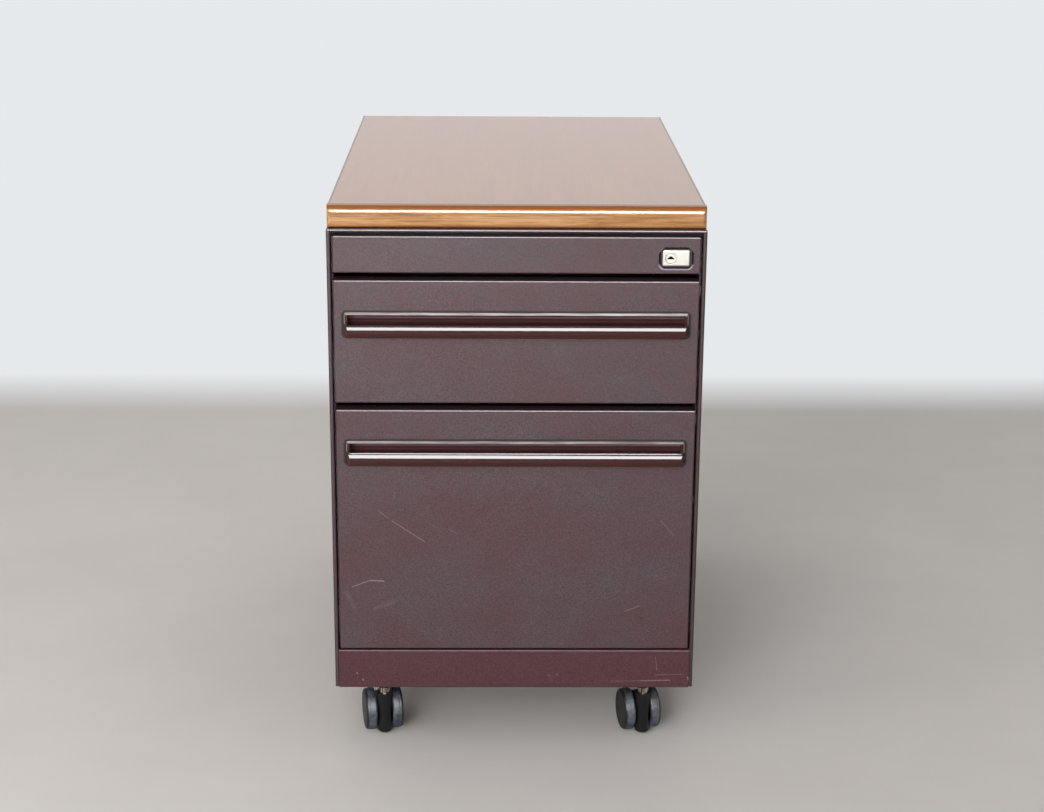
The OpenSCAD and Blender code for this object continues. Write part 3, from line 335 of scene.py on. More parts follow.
def pressed_in(tree, low, high, face):
    """One on steel that lies deeper than the face, around a box and up to the reach of the press tool."""
    reach = 9 * MM
    middle, half = (low + high) / 2, (high - low) / 2
    place = place_on_axes(tree)
    mask = add(tree, "MapRange", {0: place[1], 1: face + 0.3 * MM, 2: face + 1.2 * MM})
    for axis in (0, 2):
        edge = half[axis] + reach
        off = distance_from(tree, place[axis], middle[axis])
        near = add(tree, "MapRange", {0: off, 1: edge, 2: edge + MM, 3: 1, 4: 0})
        mask = add(tree, "Math", {0: mask, 1: near}, operation="MULTIPLY")
    return mask


# ---- finishes ----


def powder_coat(name, base, warm, scuff, grain, patch, wear, gloss, marks=(), painted_light_marks=()):
    """Powder-coated steel, sprayed and baked: a fine orange peel, low gloss, patches rubbed by hands and
    knees, and thin scratches that show the paler paint below. A real dimple of the peel is 0.4 mm wide.
    It is drawn coarser, so that it shows. Marks are scratches, and the fitted pairs are a colour and a mask, each
    painting shade or a highlight onto the steel."""
    material, tree = new_material(name)
    grain, patch = grain / MM, patch / MM
    mottle_size, peel_depth = 7, 0.12 * MM
    fine = add(tree, "TexNoise", {"Vector": place_in_mm(tree, grain), "Scale": 1, "Detail": 3, "Roughness": 0.6})
    mottle = add(tree, "TexNoise", {"Vector": place_in_mm(tree, mottle_size), "Scale": 1, "Detail": 4,
                                    "Roughness": 0.7})
    patches = add(tree, "TexNoise", {"Vector": place_in_mm(tree, patch * 1.5, patch, patch), "Scale": 1,
                                     "Detail": 4, "Roughness": 0.55, "Distortion": 0.3})
    # The rubbed patches have edges that are frayed by the mottle
    frayed = add(tree, "Math", {0: mottle, 1: 0.3}, operation="MULTIPLY")
    frayed = add(tree, "Math", {0: patches, 1: frayed}, operation="ADD")
    rubbed = add(tree, "MapRange", {0: frayed, 1: 0.48, 2: 0.86})
    shown = add(tree, "Mix", {0: rubbed, 6: base, 7: warm}, **BLEND)
    shade = add(tree, "MapRange", {0: mottle, **MOST, 3: 0.93, 4: 1.07})
    speck = add(tree, "MapRange", {0: fine, **MOST, 3: 0.6, 4: 1.4})
    level = add(tree, "Math", {0: shade, 1: speck}, operation="MULTIPLY")
    shown = add(tree, "Mix", {0: 1, 6: shown, 7: level}, **SHADE)
    wear_and_painted_light = scattered_scratches(tree, wear)
    if marks:
        wear_and_painted_light = add(tree, "Math", {0: wear_and_painted_light, 1: drawn_scratches(tree, marks)}, operation="MAXIMUM")
    shown = add(tree, "Mix", {0: wear_and_painted_light, 6: shown, 7: scuff}, **BLEND)
    # Painted shade and painted highlights, each a colour laid over its mask
    for code, mask in painted_light_marks:
        shown = add(tree, "Mix", {0: mask(tree), 6: shown, 7: linear(code)}, **BLEND)
    haze = add(tree, "MapRange", {0: patches, 1: 0.35, 2: 0.7, 3: 0.42, 4: 0.48})
    peel = add(tree, "Bump", {"Height": fine, "Strength": 0.3, "Distance": peel_depth})
    finish(tree, Base_Color=shown, Roughness=haze, Normal=peel, Specular_IOR_Level=0.25, Coat_Weight=gloss,
           Coat_Roughness=0.16)
    return material


def veneer(name, light, dark, grain):
    """Sliced beech veneer under satin lacquer: long soft grain from front to back, with small pores. A
    real pore is 0.1 mm wide. It is drawn 0.7 mm wide, so that it shows."""
    material, tree = new_material(name)
    figure = add(tree, "TexNoise", {"Vector": place_in_mm(tree, 26, 420, 26), "Scale": 1, "Detail": 4,
                                    "Roughness": 0.6, "Distortion": 0.6})
    fine = add(tree, "TexNoise", {"Vector": place_in_mm(tree, grain / MM, 90, grain / MM), "Scale": 1,
                                  "Detail": 3, "Roughness": 0.6})
    pore = add(tree, "TexNoise", {"Vector": place_in_mm(tree, 0.7, 14, 0.7), "Scale": 1, "Detail": 1,
                                  "Roughness": 0.5})
    figure = add(tree, "Math", {0: figure, 1: 0.65}, operation="MULTIPLY")
    lines = add(tree, "Math", {0: fine, 1: 0.35}, operation="MULTIPLY")
    amount = add(tree, "Math", {0: figure, 1: lines}, operation="ADD")
    amount = add(tree, "MapRange", {0: amount, 1: 0.32, 2: 0.68})
    tone = add(tree, "Mix", {0: amount, 6: light, 7: dark}, **BLEND)
    open_pore = add(tree, "MapRange", {0: pore, 1: 0.66, 2: 0.74, 3: 0, 4: 0.3})
    shown = add(tree, "Mix", {0: open_pore, 6: tone, 7: dark}, **BLEND)
    relief = add(tree, "Bump", {"Height": fine, "Strength": 0.12, "Distance": 0.05 * MM})
    finish(tree, Base_Color=shown, Normal=relief, Roughness=0.3, Coat_Weight=1.0, Coat_Roughness=0.12)
    return material


def solid_edging(name, light, dark, deep, grain, along, edge_shade_share):
    """Solid beech, planed and lacquered: straight grain along the strip, and a deep orange band of painted shade
    on the rounded arris and along the lower edge. Along is the axis of the strip."""
    material, tree = new_material(name)
    figure_size, grain_size = [7, 7, 7], [grain / MM] * 3
    figure_size[along], grain_size[along] = 60, 70
    figure = add(tree, "TexNoise", {"Vector": place_in_mm(tree, *figure_size), "Scale": 1, "Detail": 4,
                                    "Roughness": 0.65, "Distortion": 0.8})
    fine = add(tree, "TexNoise", {"Vector": place_in_mm(tree, *grain_size), "Scale": 1, "Detail": 3,
                                  "Roughness": 0.6})
    figure = add(tree, "Math", {0: figure, 1: 0.55}, operation="MULTIPLY")
    lines = add(tree, "Math", {0: fine, 1: 0.45}, operation="MULTIPLY")
    amount = add(tree, "Math", {0: figure, 1: lines}, operation="ADD")
    amount = add(tree, "MapRange", {0: amount, 1: 0.38, 2: 0.62})
    tone = add(tree, "Mix", {0: amount, 6: light, 7: dark}, **BLEND)
    low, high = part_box("front_edging")
    round_over, full_depth, bead = 4.2 * MM, 2.4 * MM, 4.5 * MM
    height = place_on_axes(tree)[2]
    # The painted shade is deepest where the round begins, and thins out again on the flat top
    arris = add(tree, "MapRange", {0: height, 1: high.z - round_over, 2: high.z - full_depth})
    flat = add(tree, "MapRange", {0: height, 1: high.z - 0.4 * MM, 2: high.z - 0.1 * MM, 3: 1, 4: 0.35})
    arris = add(tree, "Math", {0: arris, 1: flat}, operation="MULTIPLY")
    foot = add(tree, "MapRange", {0: height, 1: low.z + bead, 2: low.z + 0.5 * MM, 3: 0, 4: 0.95})
    painted_edge_shade = add(tree, "Math", {0: arris, 1: foot}, operation="MAXIMUM")
    painted_edge_shade = add(tree, "Math", {0: painted_edge_shade, 1: edge_shade_share}, operation="MULTIPLY")
    shown = add(tree, "Mix", {0: painted_edge_shade, 6: tone, 7: deep}, **BLEND)
    relief = add(tree, "Bump", {"Height": fine, "Strength": 0.15, "Distance": 0.06 * MM})
    finish(tree, Base_Color=shown, Normal=relief, Roughness=0.16)
    return material


def moulded_gloss(name, base, roughness):
    """Glass-filled nylon from a polished mould: dark, half glossy, with faint flow marks."""
    material, tree = new_material(name)
    flow = add(tree, "TexNoise", {"Vector": place_in_mm(tree, 60, 12, 12), "Scale": 1, "Detail": 3,
                                  "Roughness": 0.6})
    level = add(tree, "MapRange", {0: flow, **MOST, 3: 0.9, 4: 1.1})
    shown = add(tree, "Mix", {0: 1, 6: base, 7: level}, **SHADE)
    ripple = add(tree, "TexNoise", {"Vector": place_in_mm(tree, 3), "Scale": 1, "Detail": 2})
    relief = add(tree, "Bump", {"Height": ripple, "Strength": 0.06, "Distance": 0.05 * MM})
    finish(tree, Base_Color=shown, Normal=relief, Roughness=roughness, IOR=1.5, Specular_IOR_Level=0.3)
    return material


def moulded_pull(name, base, hollow, low, high, haze):
    """ABS from a polished mould: a mirror-like bar with a dull flat top, a paler worn hollow with a painted
    highlight along its lip, and a finely etched rim with faint flow streaks, painted shade on its ends and a
    painted highlight on their bevel, and a joint round it that is dusty and painted dark as shadow. Haze is the
    roughness of the rim."""
    material, tree = new_material(name)
    rim, lip, rim_depth, bar_top, corner = 4 * MM, 9.6 * MM, 14 * MM, 16 * MM, 5.0
    x, y, z = place_on_axes(tree)

    # The hollow behind the rim is worn pale, and a painted highlight runs along its lip
    face = low.y + rim_depth
    back = add(tree, "MapRange", {0: y, 1: face, 2: face + 2 * MM})
    painted_lip_highlight = add(tree, "MapRange", {0: distance_from(tree, z, high.z - lip), 1: 0.7 * MM, 2: 1.3 * MM,
                                          3: 0.6, 4: 0})
    flow = add(tree, "TexNoise", {"Vector": place_in_mm(tree, 38, 6, 2.2), "Scale": 1, "Detail": 3,
                                  "Roughness": 0.6})
    level = add(tree, "MapRange", {0: flow, **MOST, 3: 0.88, 4: 1.12})
    wear_and_painted_light = add(tree, "Mix", {0: painted_lip_highlight, 6: hollow, 7: linear("#7b6a6e")}, **BLEND)
    tone = add(tree, "Mix", {0: back, 6: base, 7: wear_and_painted_light}, **BLEND)
    shown = add(tree, "Mix", {0: 1, 6: tone, 7: level}, **SHADE)

    # Painted shade darkens the rim's ends, and a painted highlight lines their bevel below the etched part
    sides = add(tree, "Math", {0: x}, operation="ABSOLUTE")
    sides = add(tree, "MapRange", {0: sides, 1: high.x - 4.6 * MM, 2: high.x - 4.2 * MM, 3: 0, 4: 0.7})
    rim_face = add(tree, "MapRange", {0: y, 1: face - 3 * MM, 2: face - 2.5 * MM})
    shaded_rim_ends = add(tree, "Math", {0: sides, 1: rim_face}, operation="MULTIPLY")
    away = beyond(tree, low, high, corner)
    painted_bevel_highlight = ring(tree, away, start=1.7, full=2.0, fade=2.7, end=3.0, strength=0.7)
    over_bar = add(tree, "MapRange", {0: z, 1: high.z - 16 * MM, 2: high.z - 12 * MM})
    under_rim = add(tree, "MapRange", {0: z, 1: high.z - rim, 2: high.z - rim + 0.3 * MM, 3: 1, 4: 0})
    for part in (over_bar, under_rim, shaded_rim_ends):
        painted_bevel_highlight = add(tree, "Math", {0: painted_bevel_highlight, 1: part}, operation="MULTIPLY")
    shown = add(tree, "Mix", {0: shaded_rim_ends, 6: shown, 7: linear("#1d1112")}, **BLEND)
    shown = add(tree, "Mix", {0: painted_bevel_highlight, 6: shown, 7: linear("#a39594")}, **BLEND)
    # Painted shadow: a dark line in the joint round the rim
    joint = add(tree, "MapRange", {0: away, 1: 3.5, 2: 3.9})
    shown = add(tree, "Mix", {0: joint, 6: shown, 7: linear("#1a1011")}, **BLEND)

    # The rim is etched, the flat top of the bar is dull, and the joint is dusty
    etched = add(tree, "MapRange", {0: z, 1: high.z - rim, 2: high.z - rim + 0.3 * MM})
    streaky = add(tree, "MapRange", {0: flow, 1: 0.35, 2: 0.65, 3: haze - 0.1, 4: haze + 0.1})
    rough = add(tree, "Math", {0: etched, 1: streaky}, operation="MULTIPLY")
    dull_top = add(tree, "MapRange", {0: distance_from(tree, z, low.z + bar_top), 1: 0.1 * MM, 2: 0.25 * MM,
                                      3: 0.9, 4: 0})
    dusty = add(tree, "Math", {0: joint, 1: 0.9}, operation="MULTIPLY")
    for least in (dull_top, 0.09, dusty):
        rough = add(tree, "Math", {0: rough, 1: least}, operation="MAXIMUM")
    ripple = add(tree, "TexNoise", {"Vector": place_in_mm(tree, 9, 3, 3), "Scale": 1, "Detail": 2})
    relief = add(tree, "Bump", {"Height": ripple, "Strength": 0.05, "Distance": 0.05 * MM})
    finish(tree, Base_Color=shown, Roughness=rough, Normal=relief, IOR=1.42)
    return material


def moulded_matt(name, base, grain):
    """Polystyrene from an etched mould: fine leather grain and low gloss. Grain is its width in
    millimetres."""
    material, tree = new_material(name)
    fine = add(tree, "TexNoise", {"Vector": place_in_mm(tree, grain), "Scale": 1, "Detail": 3, "Roughness": 0.6})
    level = add(tree, "MapRange", {0: fine, **MOST, 3: 0.92, 4: 1.08})
    shown = add(tree, "Mix", {0: 1, 6: base, 7: level}, **SHADE)
    relief = add(tree, "Bump", {"Height": fine, "Strength": 0.3, "Distance": 0.1 * MM})
    finish(tree, Base_Color=shown, Normal=relief, Roughness=0.55, IOR=1.5)
    return material


def zinc_plate(name, base, roughness):
    """Rolled steel, zinc-plated: bright, with long rolling lines and cloudy passivation. A real rolling
    line is 0.05 mm wide. It is drawn 0.8 mm wide, so that it shows."""
    material, tree = new_material(name)
    lines = add(tree, "TexNoise", {"Vector": place_in_mm(tree, 0.8, 60, 0.8), "Scale": 1, "Detail": 2,
                                   "Roughness": 0.5})
    cloud = add(tree, "TexNoise", {"Vector": place_in_mm(tree, 14), "Scale": 1, "Detail": 3, "Roughness": 0.6})
    level = add(tree, "MapRange", {0: cloud, **MOST, 3: 0.86, 4: 1.08})
    shown = add(tree, "Mix", {0: 1, 6: base, 7: level}, **SHADE)
    haze = add(tree, "MapRange", {0: cloud, **MOST, 3: roughness - 0.06, 4: roughness + 0.08})
    relief = add(tree, "Bump", {"Height": lines, "Strength": 0.1, "Distance": 0.04 * MM})
    finish(tree, Base_Color=shown, Roughness=haze, Normal=relief, Metallic=1.0)
    return material


def nickel_plate(name, base, floor, foot):
    """Die-casting, polished and nickel-plated: a warm white sheen with a haze of fine wear, painted shade where
    the metal lies deeper than its floor, and painted shade on the lower edge up to its foot."""
    material, tree = new_material(name)
    wear = add(tree, "TexNoise", {"Vector": place_in_mm(tree, 6), "Scale": 1, "Detail": 3, "Roughness": 0.6})
    haze = add(tree, "MapRange", {0: wear, **MOST, 3: 0.4, 4: 0.5})
    place = place_on_axes(tree)
    edge = add(tree, "MapRange", {0: place[2], 1: foot, 2: foot - 0.5 * MM, 3: 0, 4: 0.6})
    wear_and_painted_light = add(tree, "Mix", {0: edge, 6: base, 7: linear("#5b5345")}, **BLEND)
    painted_deep_shade = add(tree, "MapRange", {0: place[1], 1: floor, 2: floor + 0.5 * MM})
    shown = add(tree, "Mix", {0: painted_deep_shade, 6: wear_and_painted_light, 7: linear("#17130f")}, **BLEND)
    finish(tree, Base_Color=shown, Roughness=haze, Metallic=1.0)
    return material


def turned_nickel(name, light, dark):
    """A turned steel stem, nickel-plated: painted reflections, as light and dark bronze streaks along its length.
    """
    material, tree = new_material(name)
    streak = add(tree, "TexNoise", {"Vector": place_in_mm(tree, 1.6, 1.6, 60), "Scale": 1, "Detail": 2,
                                    "Roughness": 0.6})
    streak = add(tree, "MapRange", {0: streak, 1: 0.4, 2: 0.6})
    # Painted reflections: light and dark streaks mixed into the colour
    shown = add(tree, "Mix", {0: streak, 6: light, 7: dark}, **BLEND)
    finish(tree, Base_Color=shown, Metallic=1.0, Roughness=0.26)
    return material


def black_iron(name):
    """Cast iron dipped in black lacquer: coarse sand texture, low gloss."""
    material, tree = new_material(name)
    sand = add(tree, "TexNoise", {"Vector": place_in_mm(tree, 4), "Scale": 1, "Detail": 4, "Roughness": 0.7})
    relief = add(tree, "Bump", {"Height": sand, "Strength": 0.6, "Distance": 0.5 * MM})
    finish(tree, Base_Color=linear("#232326"), Normal=relief, Roughness=0.6)
    return material


def rolled_tread(name, disc, tread, centre, outward, radius, width, tread_width):
    """Moulded nylon wheel: a black cover on its outer side, and a greyer running face, polished and dusted
    by the floor."""
    material, tree = new_material(name)
    place = add(tree, "TexCoord").outputs["Object"]
    away = add(tree, "VectorMath", {0: place, 1: centre}, operation="SUBTRACT")
    along = add(tree, "VectorMath", {0: away, 1: outward}, operation="DOT_PRODUCT")
    off = add(tree, "VectorMath", {0: outward, "Scale": along}, operation="SCALE")
    spoke = add(tree, "VectorMath", {0: away, 1: off}, operation="SUBTRACT")
    spoke = add(tree, "VectorMath", {0: spoke}, operation="LENGTH")
    shoulder, chamfer = 2.6 * MM, 1.2 * MM
    running = add(tree, "MapRange", {0: spoke, 1: radius - shoulder, 2: radius - chamfer})
    edge = tread_width - width / 2
    inner = add(tree, "MapRange", {0: along, 1: edge, 2: edge - 0.4 * MM})
    dust = add(tree, "TexNoise", {"Vector": place_in_mm(tree, 8), "Scale": 1, "Detail": 4, "Roughness": 0.7})
    wear_and_painted_light = add(tree, "MapRange", {0: dust, 1: 0.4, 2: 0.6, 3: 0.25, 4: 1})
    grey = add(tree, "Math", {0: running, 1: inner}, operation="MULTIPLY")
    grey = add(tree, "Math", {0: grey, 1: wear_and_painted_light}, operation="MULTIPLY")
    shown = add(tree, "Mix", {0: grey, 6: disc, 7: tread}, **BLEND)
    haze = add(tree, "MapRange", {0: dust, **MOST, 3: 0.44, 4: 0.56})
    relief = add(tree, "Bump", {"Height": dust, "Strength": 0.1, "Distance": 0.08 * MM})
    finish(tree, Base_Color=shown, Roughness=haze, Normal=relief, IOR=1.53, Specular_IOR_Level=0.35)
    return material


# ---- operators ----


class PEDESTAL_OT_stage(Operator):
    """Make the floor, the lights and the camera"""

    bl_idname = "pedestal.stage"
    bl_label = "Floor, lights and camera"

    floor_reach = 20.0  # metres from the middle to each edge
    cloud_size = 260  # millimetres across a lighter or darker place of the floor
    wall_fade = {1: 1020, 2: 1260}  # millimetres behind the middle of the cabinet
    round_fade = {1: 3500, 2: 8000}  # millimetres from it on any side
    air = 0.38  # brightness of the air that matt surfaces see
    air_tint = (0.95, 0.97, 1.0, 1)
    ceiling = {1: 0.5, 2: 0.85, 3: 0.95, 4: 0.3}  # what gloss sees from the walls up to the ceiling
    card_distance, card_width = 3.0, 2.2  # metres
    card_rise, card_spread = 29, 32  # degrees
    card_brightness = 27  # times white
    card_aim = 0.7  # share of the cabinet's height
    cool, warm = (0.97, 0.98, 1.0), (1.0, 0.98, 0.97)

    # Each lamp's name, place, target, width, height, watts and tint
    lamps = (
        ("overhead", (-0.2, 0.9, 2.6), (0, 0.1, 0.5), 2.2, 1.6, 12, warm),
        ("front_high", (-1.3, -3.1, 1.3), (0, 0, 0.2), 1.8, 1.2, 36, cool),
        ("front_low", (-1.0, -3.3, 0.7), (0, 0, 0.1), 1.6, 0.8, 48, cool),
        ("side_left", (-2.6, -1.6, 1.2), (0, 0, 0.2), 1.8, 1.2, 18, cool),
    )

    def execute(self, context):
        settings = context.scene.pedestal_stage
        self.make_floor(settings)
        self.make_air(context, settings)
        for lamp in self.lamps:
            self.lamp(*lamp)
        self.card("tall_card")
        self.make_camera(context, settings)
        context.scene.view_settings.view_transform = "Standard"
        return {"FINISHED"}

    def make_floor(self, s):
        """A plain floor, which fades to the pale air of the studio far from the pedestal."""
        mesh = bmesh.new()
        bmesh.ops.create_grid(mesh, x_segments=1, y_segments=1, size=self.floor_reach)
        data = bpy.data.meshes.new("floor")
        mesh.to_mesh(data)
        mesh.free()
        floor = bpy.data.objects.new("floor", data)
        bpy.context.scene.collection.objects.link(floor)
        material, tree = new_material("pale_studio_floor")
        cloud = add(tree, "TexNoise", {"Vector": place_in_mm(tree, self.cloud_size), "Scale": 1, "Detail": 4,
                                       "Roughness": 0.6})
        level = add(tree, "MapRange", {0: cloud, **MOST, 3: 0.97, 4: 1.03})
        toned = add(tree, "Mix", {0: 1, 6: s.floor, 7: level}, **SHADE)
        surface = add(tree, "BsdfPrincipled", {"Base Color": toned, "Roughness": 0.9, "Specular IOR Level": 0})
        path = add(tree, "LightPath").outputs
        seen = add(tree, "Math", {0: path["Is Camera Ray"], 1: path["Is Glossy Ray"]}, operation="MAXIMUM")
        place = place_in_mm(tree)
        behind = add(tree, "SeparateXYZ", {0: place}).outputs[1]
        behind = add(tree, "MapRange", {0: behind, **self.wall_fade})
        around = add(tree, "VectorMath", {0: place}, operation="LENGTH")
        around = add(tree, "MapRange", {0: around, **self.round_fade})
        far = add(tree, "Math", {0: behind, 1: around}, operation="MAXIMUM")
        share = add(tree, "Math", {0: seen, 1: far}, operation="MULTIPLY")
        shown = add(tree, "Emission", {"Color": s.far, "Strength": 1})
        both = add(tree, "MixShader", {0: share, 1: surface, 2: shown})
        add(tree, "OutputMaterial", {"Surface": both})
        data.materials.append(material)

    def make_air(self, context, s):
        """Soft light from all round. Gloss sees pale walls and a darker ceiling."""
        world = bpy.data.worlds.new("studio")
        context.scene.world = world
        world.use_nodes = True
        tree = world.node_tree
        tree.nodes.clear()
        path = add(tree, "LightPath").outputs
        height = add(tree, "SeparateXYZ", {0: add(tree, "TexCoord").outputs["Generated"]}).outputs[2]
        ceiling = add(tree, "MapRange", {0: height, **self.ceiling})
        soft = add(tree, "Background", {"Color": self.air_tint, "Strength": self.air})
        shine = add(tree, "Background", {"Color": s.far, "Strength": ceiling})
        seen = add(tree, "Background", {"Color": s.far, "Strength": 1})
        gloss = add(tree, "Math", {0: path["Is Glossy Ray"], 1: path["Is Transmission Ray"]}, operation="MAXIMUM")
        lit = add(tree, "MixShader", {0: gloss, 1: soft, 2: shine})
        both = add(tree, "MixShader", {0: path["Is Camera Ray"], 1: lit, 2: seen})
        add(tree, "OutputWorld", {"Surface": both})

    def lamp(self, name, place, target, width, height, watts, tint):
        """A large soft lamp, which neither the camera nor gloss sees."""
        data = bpy.data.lights.new(name, "AREA")
        data.shape = "RECTANGLE"
        data.size = width
        data.size_y = height
        data.energy = watts
        data.color = tint
        obj = bpy.data.objects.new(name, data)
        bpy.context.scene.collection.objects.link(obj)
        obj.location = place
        obj.rotation_euler = (Vector(target) - Vector(place)).to_track_quat("-Z", "Y").to_euler()
        obj.visible_camera = False
        obj.visible_glossy = False
        return obj

    def card(self, name):
        """A bright card in front, at an elevation and as tall as an angle, whose light falls on gloss alone."""
        middle = Vector((0, FRONT, TOP * self.card_aim))
        rise = math.radians(self.card_rise)
        place = middle + Vector((0, -math.cos(rise), math.sin(rise))) * self.card_distance
        tall = 2 * self.card_distance * math.tan(math.radians(self.card_spread) / 2)
        watts = self.card_brightness * math.pi * self.card_width * tall
        obj = self.lamp(name, place, middle, self.card_width, tall, watts, self.cool)
        obj.visible_diffuse = False
        obj.visible_glossy = True

    def make_camera(self, context, s):
        """The camera, turned by its yaw, pitch and roll."""
        cos_pitch, cos_yaw, cos_roll = (math.cos(v) for v in (s.pitch, s.yaw, s.roll))
        sin_pitch, sin_yaw, sin_roll = (math.sin(v) for v in (s.pitch, s.yaw, s.roll))
        forward = Vector((sin_yaw * cos_pitch, cos_yaw * cos_pitch, -sin_pitch))
        level_right = Vector((cos_yaw, -sin_yaw, 0))
        level_down = forward.cross(level_right)
        right = level_right * cos_roll + level_down * sin_roll
        down = level_down * cos_roll - level_right * sin_roll
        axes = Matrix((right, -down, -forward)).transposed()
        place = Vector((s.aside, s.front_y - s.distance, s.height))
        data = bpy.data.cameras.new("camera")
        data.sensor_width = 36
        data.lens = s.lens
        data.clip_end = 100
        camera = bpy.data.objects.new("camera", data)
        context.scene.collection.objects.link(camera)
        camera.matrix_world = Matrix.Translation(place) @ axes.to_4x4()
        context.scene.camera = camera


class PEDESTAL_OT_steel(Operator):
    """Finish the painted steel of the cabinet and the drawer fronts"""

    bl_idname = "pedestal.steel"
    bl_label = "Painted steel"

    # Corner radii of a handle's rim and of the lock plate, in millimetres
    rim_corner = 5.0
    plate_corner = 3.0
    plated = ("slides", "posts", "runners", "sockets", "guides", "screws", "_bar", "_tabs", "_catch", "_slider",
              "_cam")

    def execute(self, context):
        s = context.scene.pedestal_paint
        look = (s.scuff, s.grain, s.patch)
        # Painted shadow in the joints round the handles and painted shade in the lock's recess, with a painted
        # highlight on the recess's lower bend
        on_fronts = [("#200c0d", self.painted_joint_shadow("box_handle")), ("#200c0d", self.painted_joint_shadow("file_handle")),
                     ("#1a1011", self.recess_shade), ("#ab9daf", self.painted_bend_highlight)]
        # Painted shade on the front edge of the right side and on the outer front corners of both sides
        on_sides = [("#2a1214", self.painted_right_edge_shade), ("#120c0c", self.painted_corner_shade)]
        fronts = powder_coat("powder_coated_steel_fronts", s.front, s.front_warm, *look, wear=0.5, gloss=0.5,
                             marks=FRONT_SCRATCHES, painted_light_marks=on_fronts)
        cabinet = powder_coat("powder_coated_steel_cabinet", s.side, s.side_warm, *look, wear=0.5, gloss=0.5,
                              painted_light_marks=on_sides)
        plinth = powder_coat("powder_coated_steel_plinth", s.plinth, s.plinth, *look, wear=0.5, gloss=0.0,
                             marks=PLINTH_SCRATCHES)
        inside = powder_coat("powder_coated_steel_inside", s.inside, s.inside, *look, wear=0.0, gloss=0.2)
        dress(fronts, "pencil_front", "box_front", "file_front")
        dress(cabinet, "side_panel_left", "side_panel_right", "back_panel", "top_cap", "base_pan")
        dress(plinth, "plinth_rail")
        dress(inside, "box_shell", "file_shell", "hanging_rails", "front_rail")
        zinc = zinc_plate("zinc_plated_steel", linear("#b9bbbe"), 0.34)
        dress(zinc, *[name for name in NODES if name.endswith(self.plated)])
        dress(black_iron("lacquered_cast_iron"), "ballast")
        return {"FINISHED"}

    def painted_joint_shadow(self, name):
        """The mask of a painted shadow in the joint between a handle's rim and the front, up to 1.5 mm past the
        rim.
        """
        low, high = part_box(name)
        shadow = {1: self.rim_corner + 0.9, 2: self.rim_corner + 1.5, 3: 0.95, 4: 0}
        return lambda tree: add(tree, "MapRange", {0: beyond(tree, low, high, self.rim_corner), **shadow})

    def recess_shade(self, tree):
        """Painted shade in the pressed recess round the lock."""
        deep = pressed_in(tree, *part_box("lock_case"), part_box("pencil_front")[0].y)
        return add(tree, "Math", {0: deep, 1: 0.85}, operation="MULTIPLY")

    def painted_bend_highlight(self, tree):
        """A painted highlight, pale, along the lower bend of that recess."""
        low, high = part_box("lock_case")
        away = beyond(tree, low, high, self.plate_corner)
        line = ring(tree, away, start=5.6, full=6.0, fade=6.8, end=7.4, strength=0.8)
        below = add(tree, "MapRange", {0: place_on_axes(tree)[2], 1: low.z + 3 * MM, 2: low.z - 1 * MM})
        return add(tree, "Math", {0: line, 1: below}, operation="MULTIPLY")

    def painted_right_edge_shade(self, tree):
        """Painted shade on the front edge of the right-hand side."""
        x, y, _ = place_on_axes(tree)
        front = add(tree, "MapRange", {0: y, 1: FRONT + 16 * MM, 2: FRONT + 15 * MM, 3: 0, 4: 0.55})
        right = add(tree, "MapRange", {0: x, 1: RIGHT - 8 * MM, 2: RIGHT - 7 * MM})
        return add(tree, "Math", {0: front, 1: right}, operation="MULTIPLY")

    def painted_corner_shade(self, tree):
        """Painted shade on the outer corners of the two sides, at the front."""
        x, y, _ = place_on_axes(tree)
        side = add(tree, "Math", {0: x}, operation="ABSOLUTE")
        side = add(tree, "MapRange", {0: side, 1: RIGHT - 1.5 * MM, 2: RIGHT - 0.9 * MM, 3: 0, 4: 0.8})
        front = add(tree, "MapRange", {0: y, 1: FRONT + 19 * MM, 2: FRONT + 17 * MM})
        return add(tree, "Math", {0: side, 1: front}, operation="MULTIPLY")


class PEDESTAL_OT_wood(Operator):
    """Finish the wooden top and its edgings"""

    bl_idname = "pedestal.wood"
    bl_label = "Wooden top"

    def execute(self, context):
        s = context.scene.pedestal_wood
        look = (s.edging_light, s.edging_dark, s.edging_deep, s.grain)
        dress(veneer("beech_veneer_lacquered", s.veneer_light, s.veneer_dark, s.grain), "top_board")
        dress(solid_edging("beech_edging_across", *look, along=0, edge_shade_share=1.0), "front_edging", "back_edging")
        dress(solid_edging("beech_edging_lengthways", *look, along=1, edge_shade_share=0.25), "side_edgings")
        return {"FINISHED"}


class PEDESTAL_OT_trim(Operator):
    """Finish the handles, the tray and the lock"""

    bl_idname = "pedestal.trim"
    bl_label = "Handles, tray and lock"

    leather = 1.0  # width of the tray's grain in millimetres
    plate_depth = 0.9 * MM  # metal behind this depth is painted dark as shade

    def execute(self, context):
        s = context.scene.pedestal_trim
        for name, haze in (("box_handle", 0.4), ("file_handle", 0.5)):
            dress(moulded_pull("abs_" + name, s.handle, s.hollow, *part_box(name), haze), name)
        dress(moulded_matt("polystyrene_tray_grained", s.tray, self.leather), "pencil_tray", "tray_rims")
        # The case's lower edge is darkened with painted shade. The plug has no such edge, so its foot lies below
        # it.
        for name, foot in (("lock_case", 2.1), ("lock_plug", -5)):
            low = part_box(name)[0]
            nickel = nickel_plate("nickel_plated_" + name, s.nickel, low.y + self.plate_depth, low.z + foot * MM)
            dress(nickel, name)
        return {"FINISHED"}


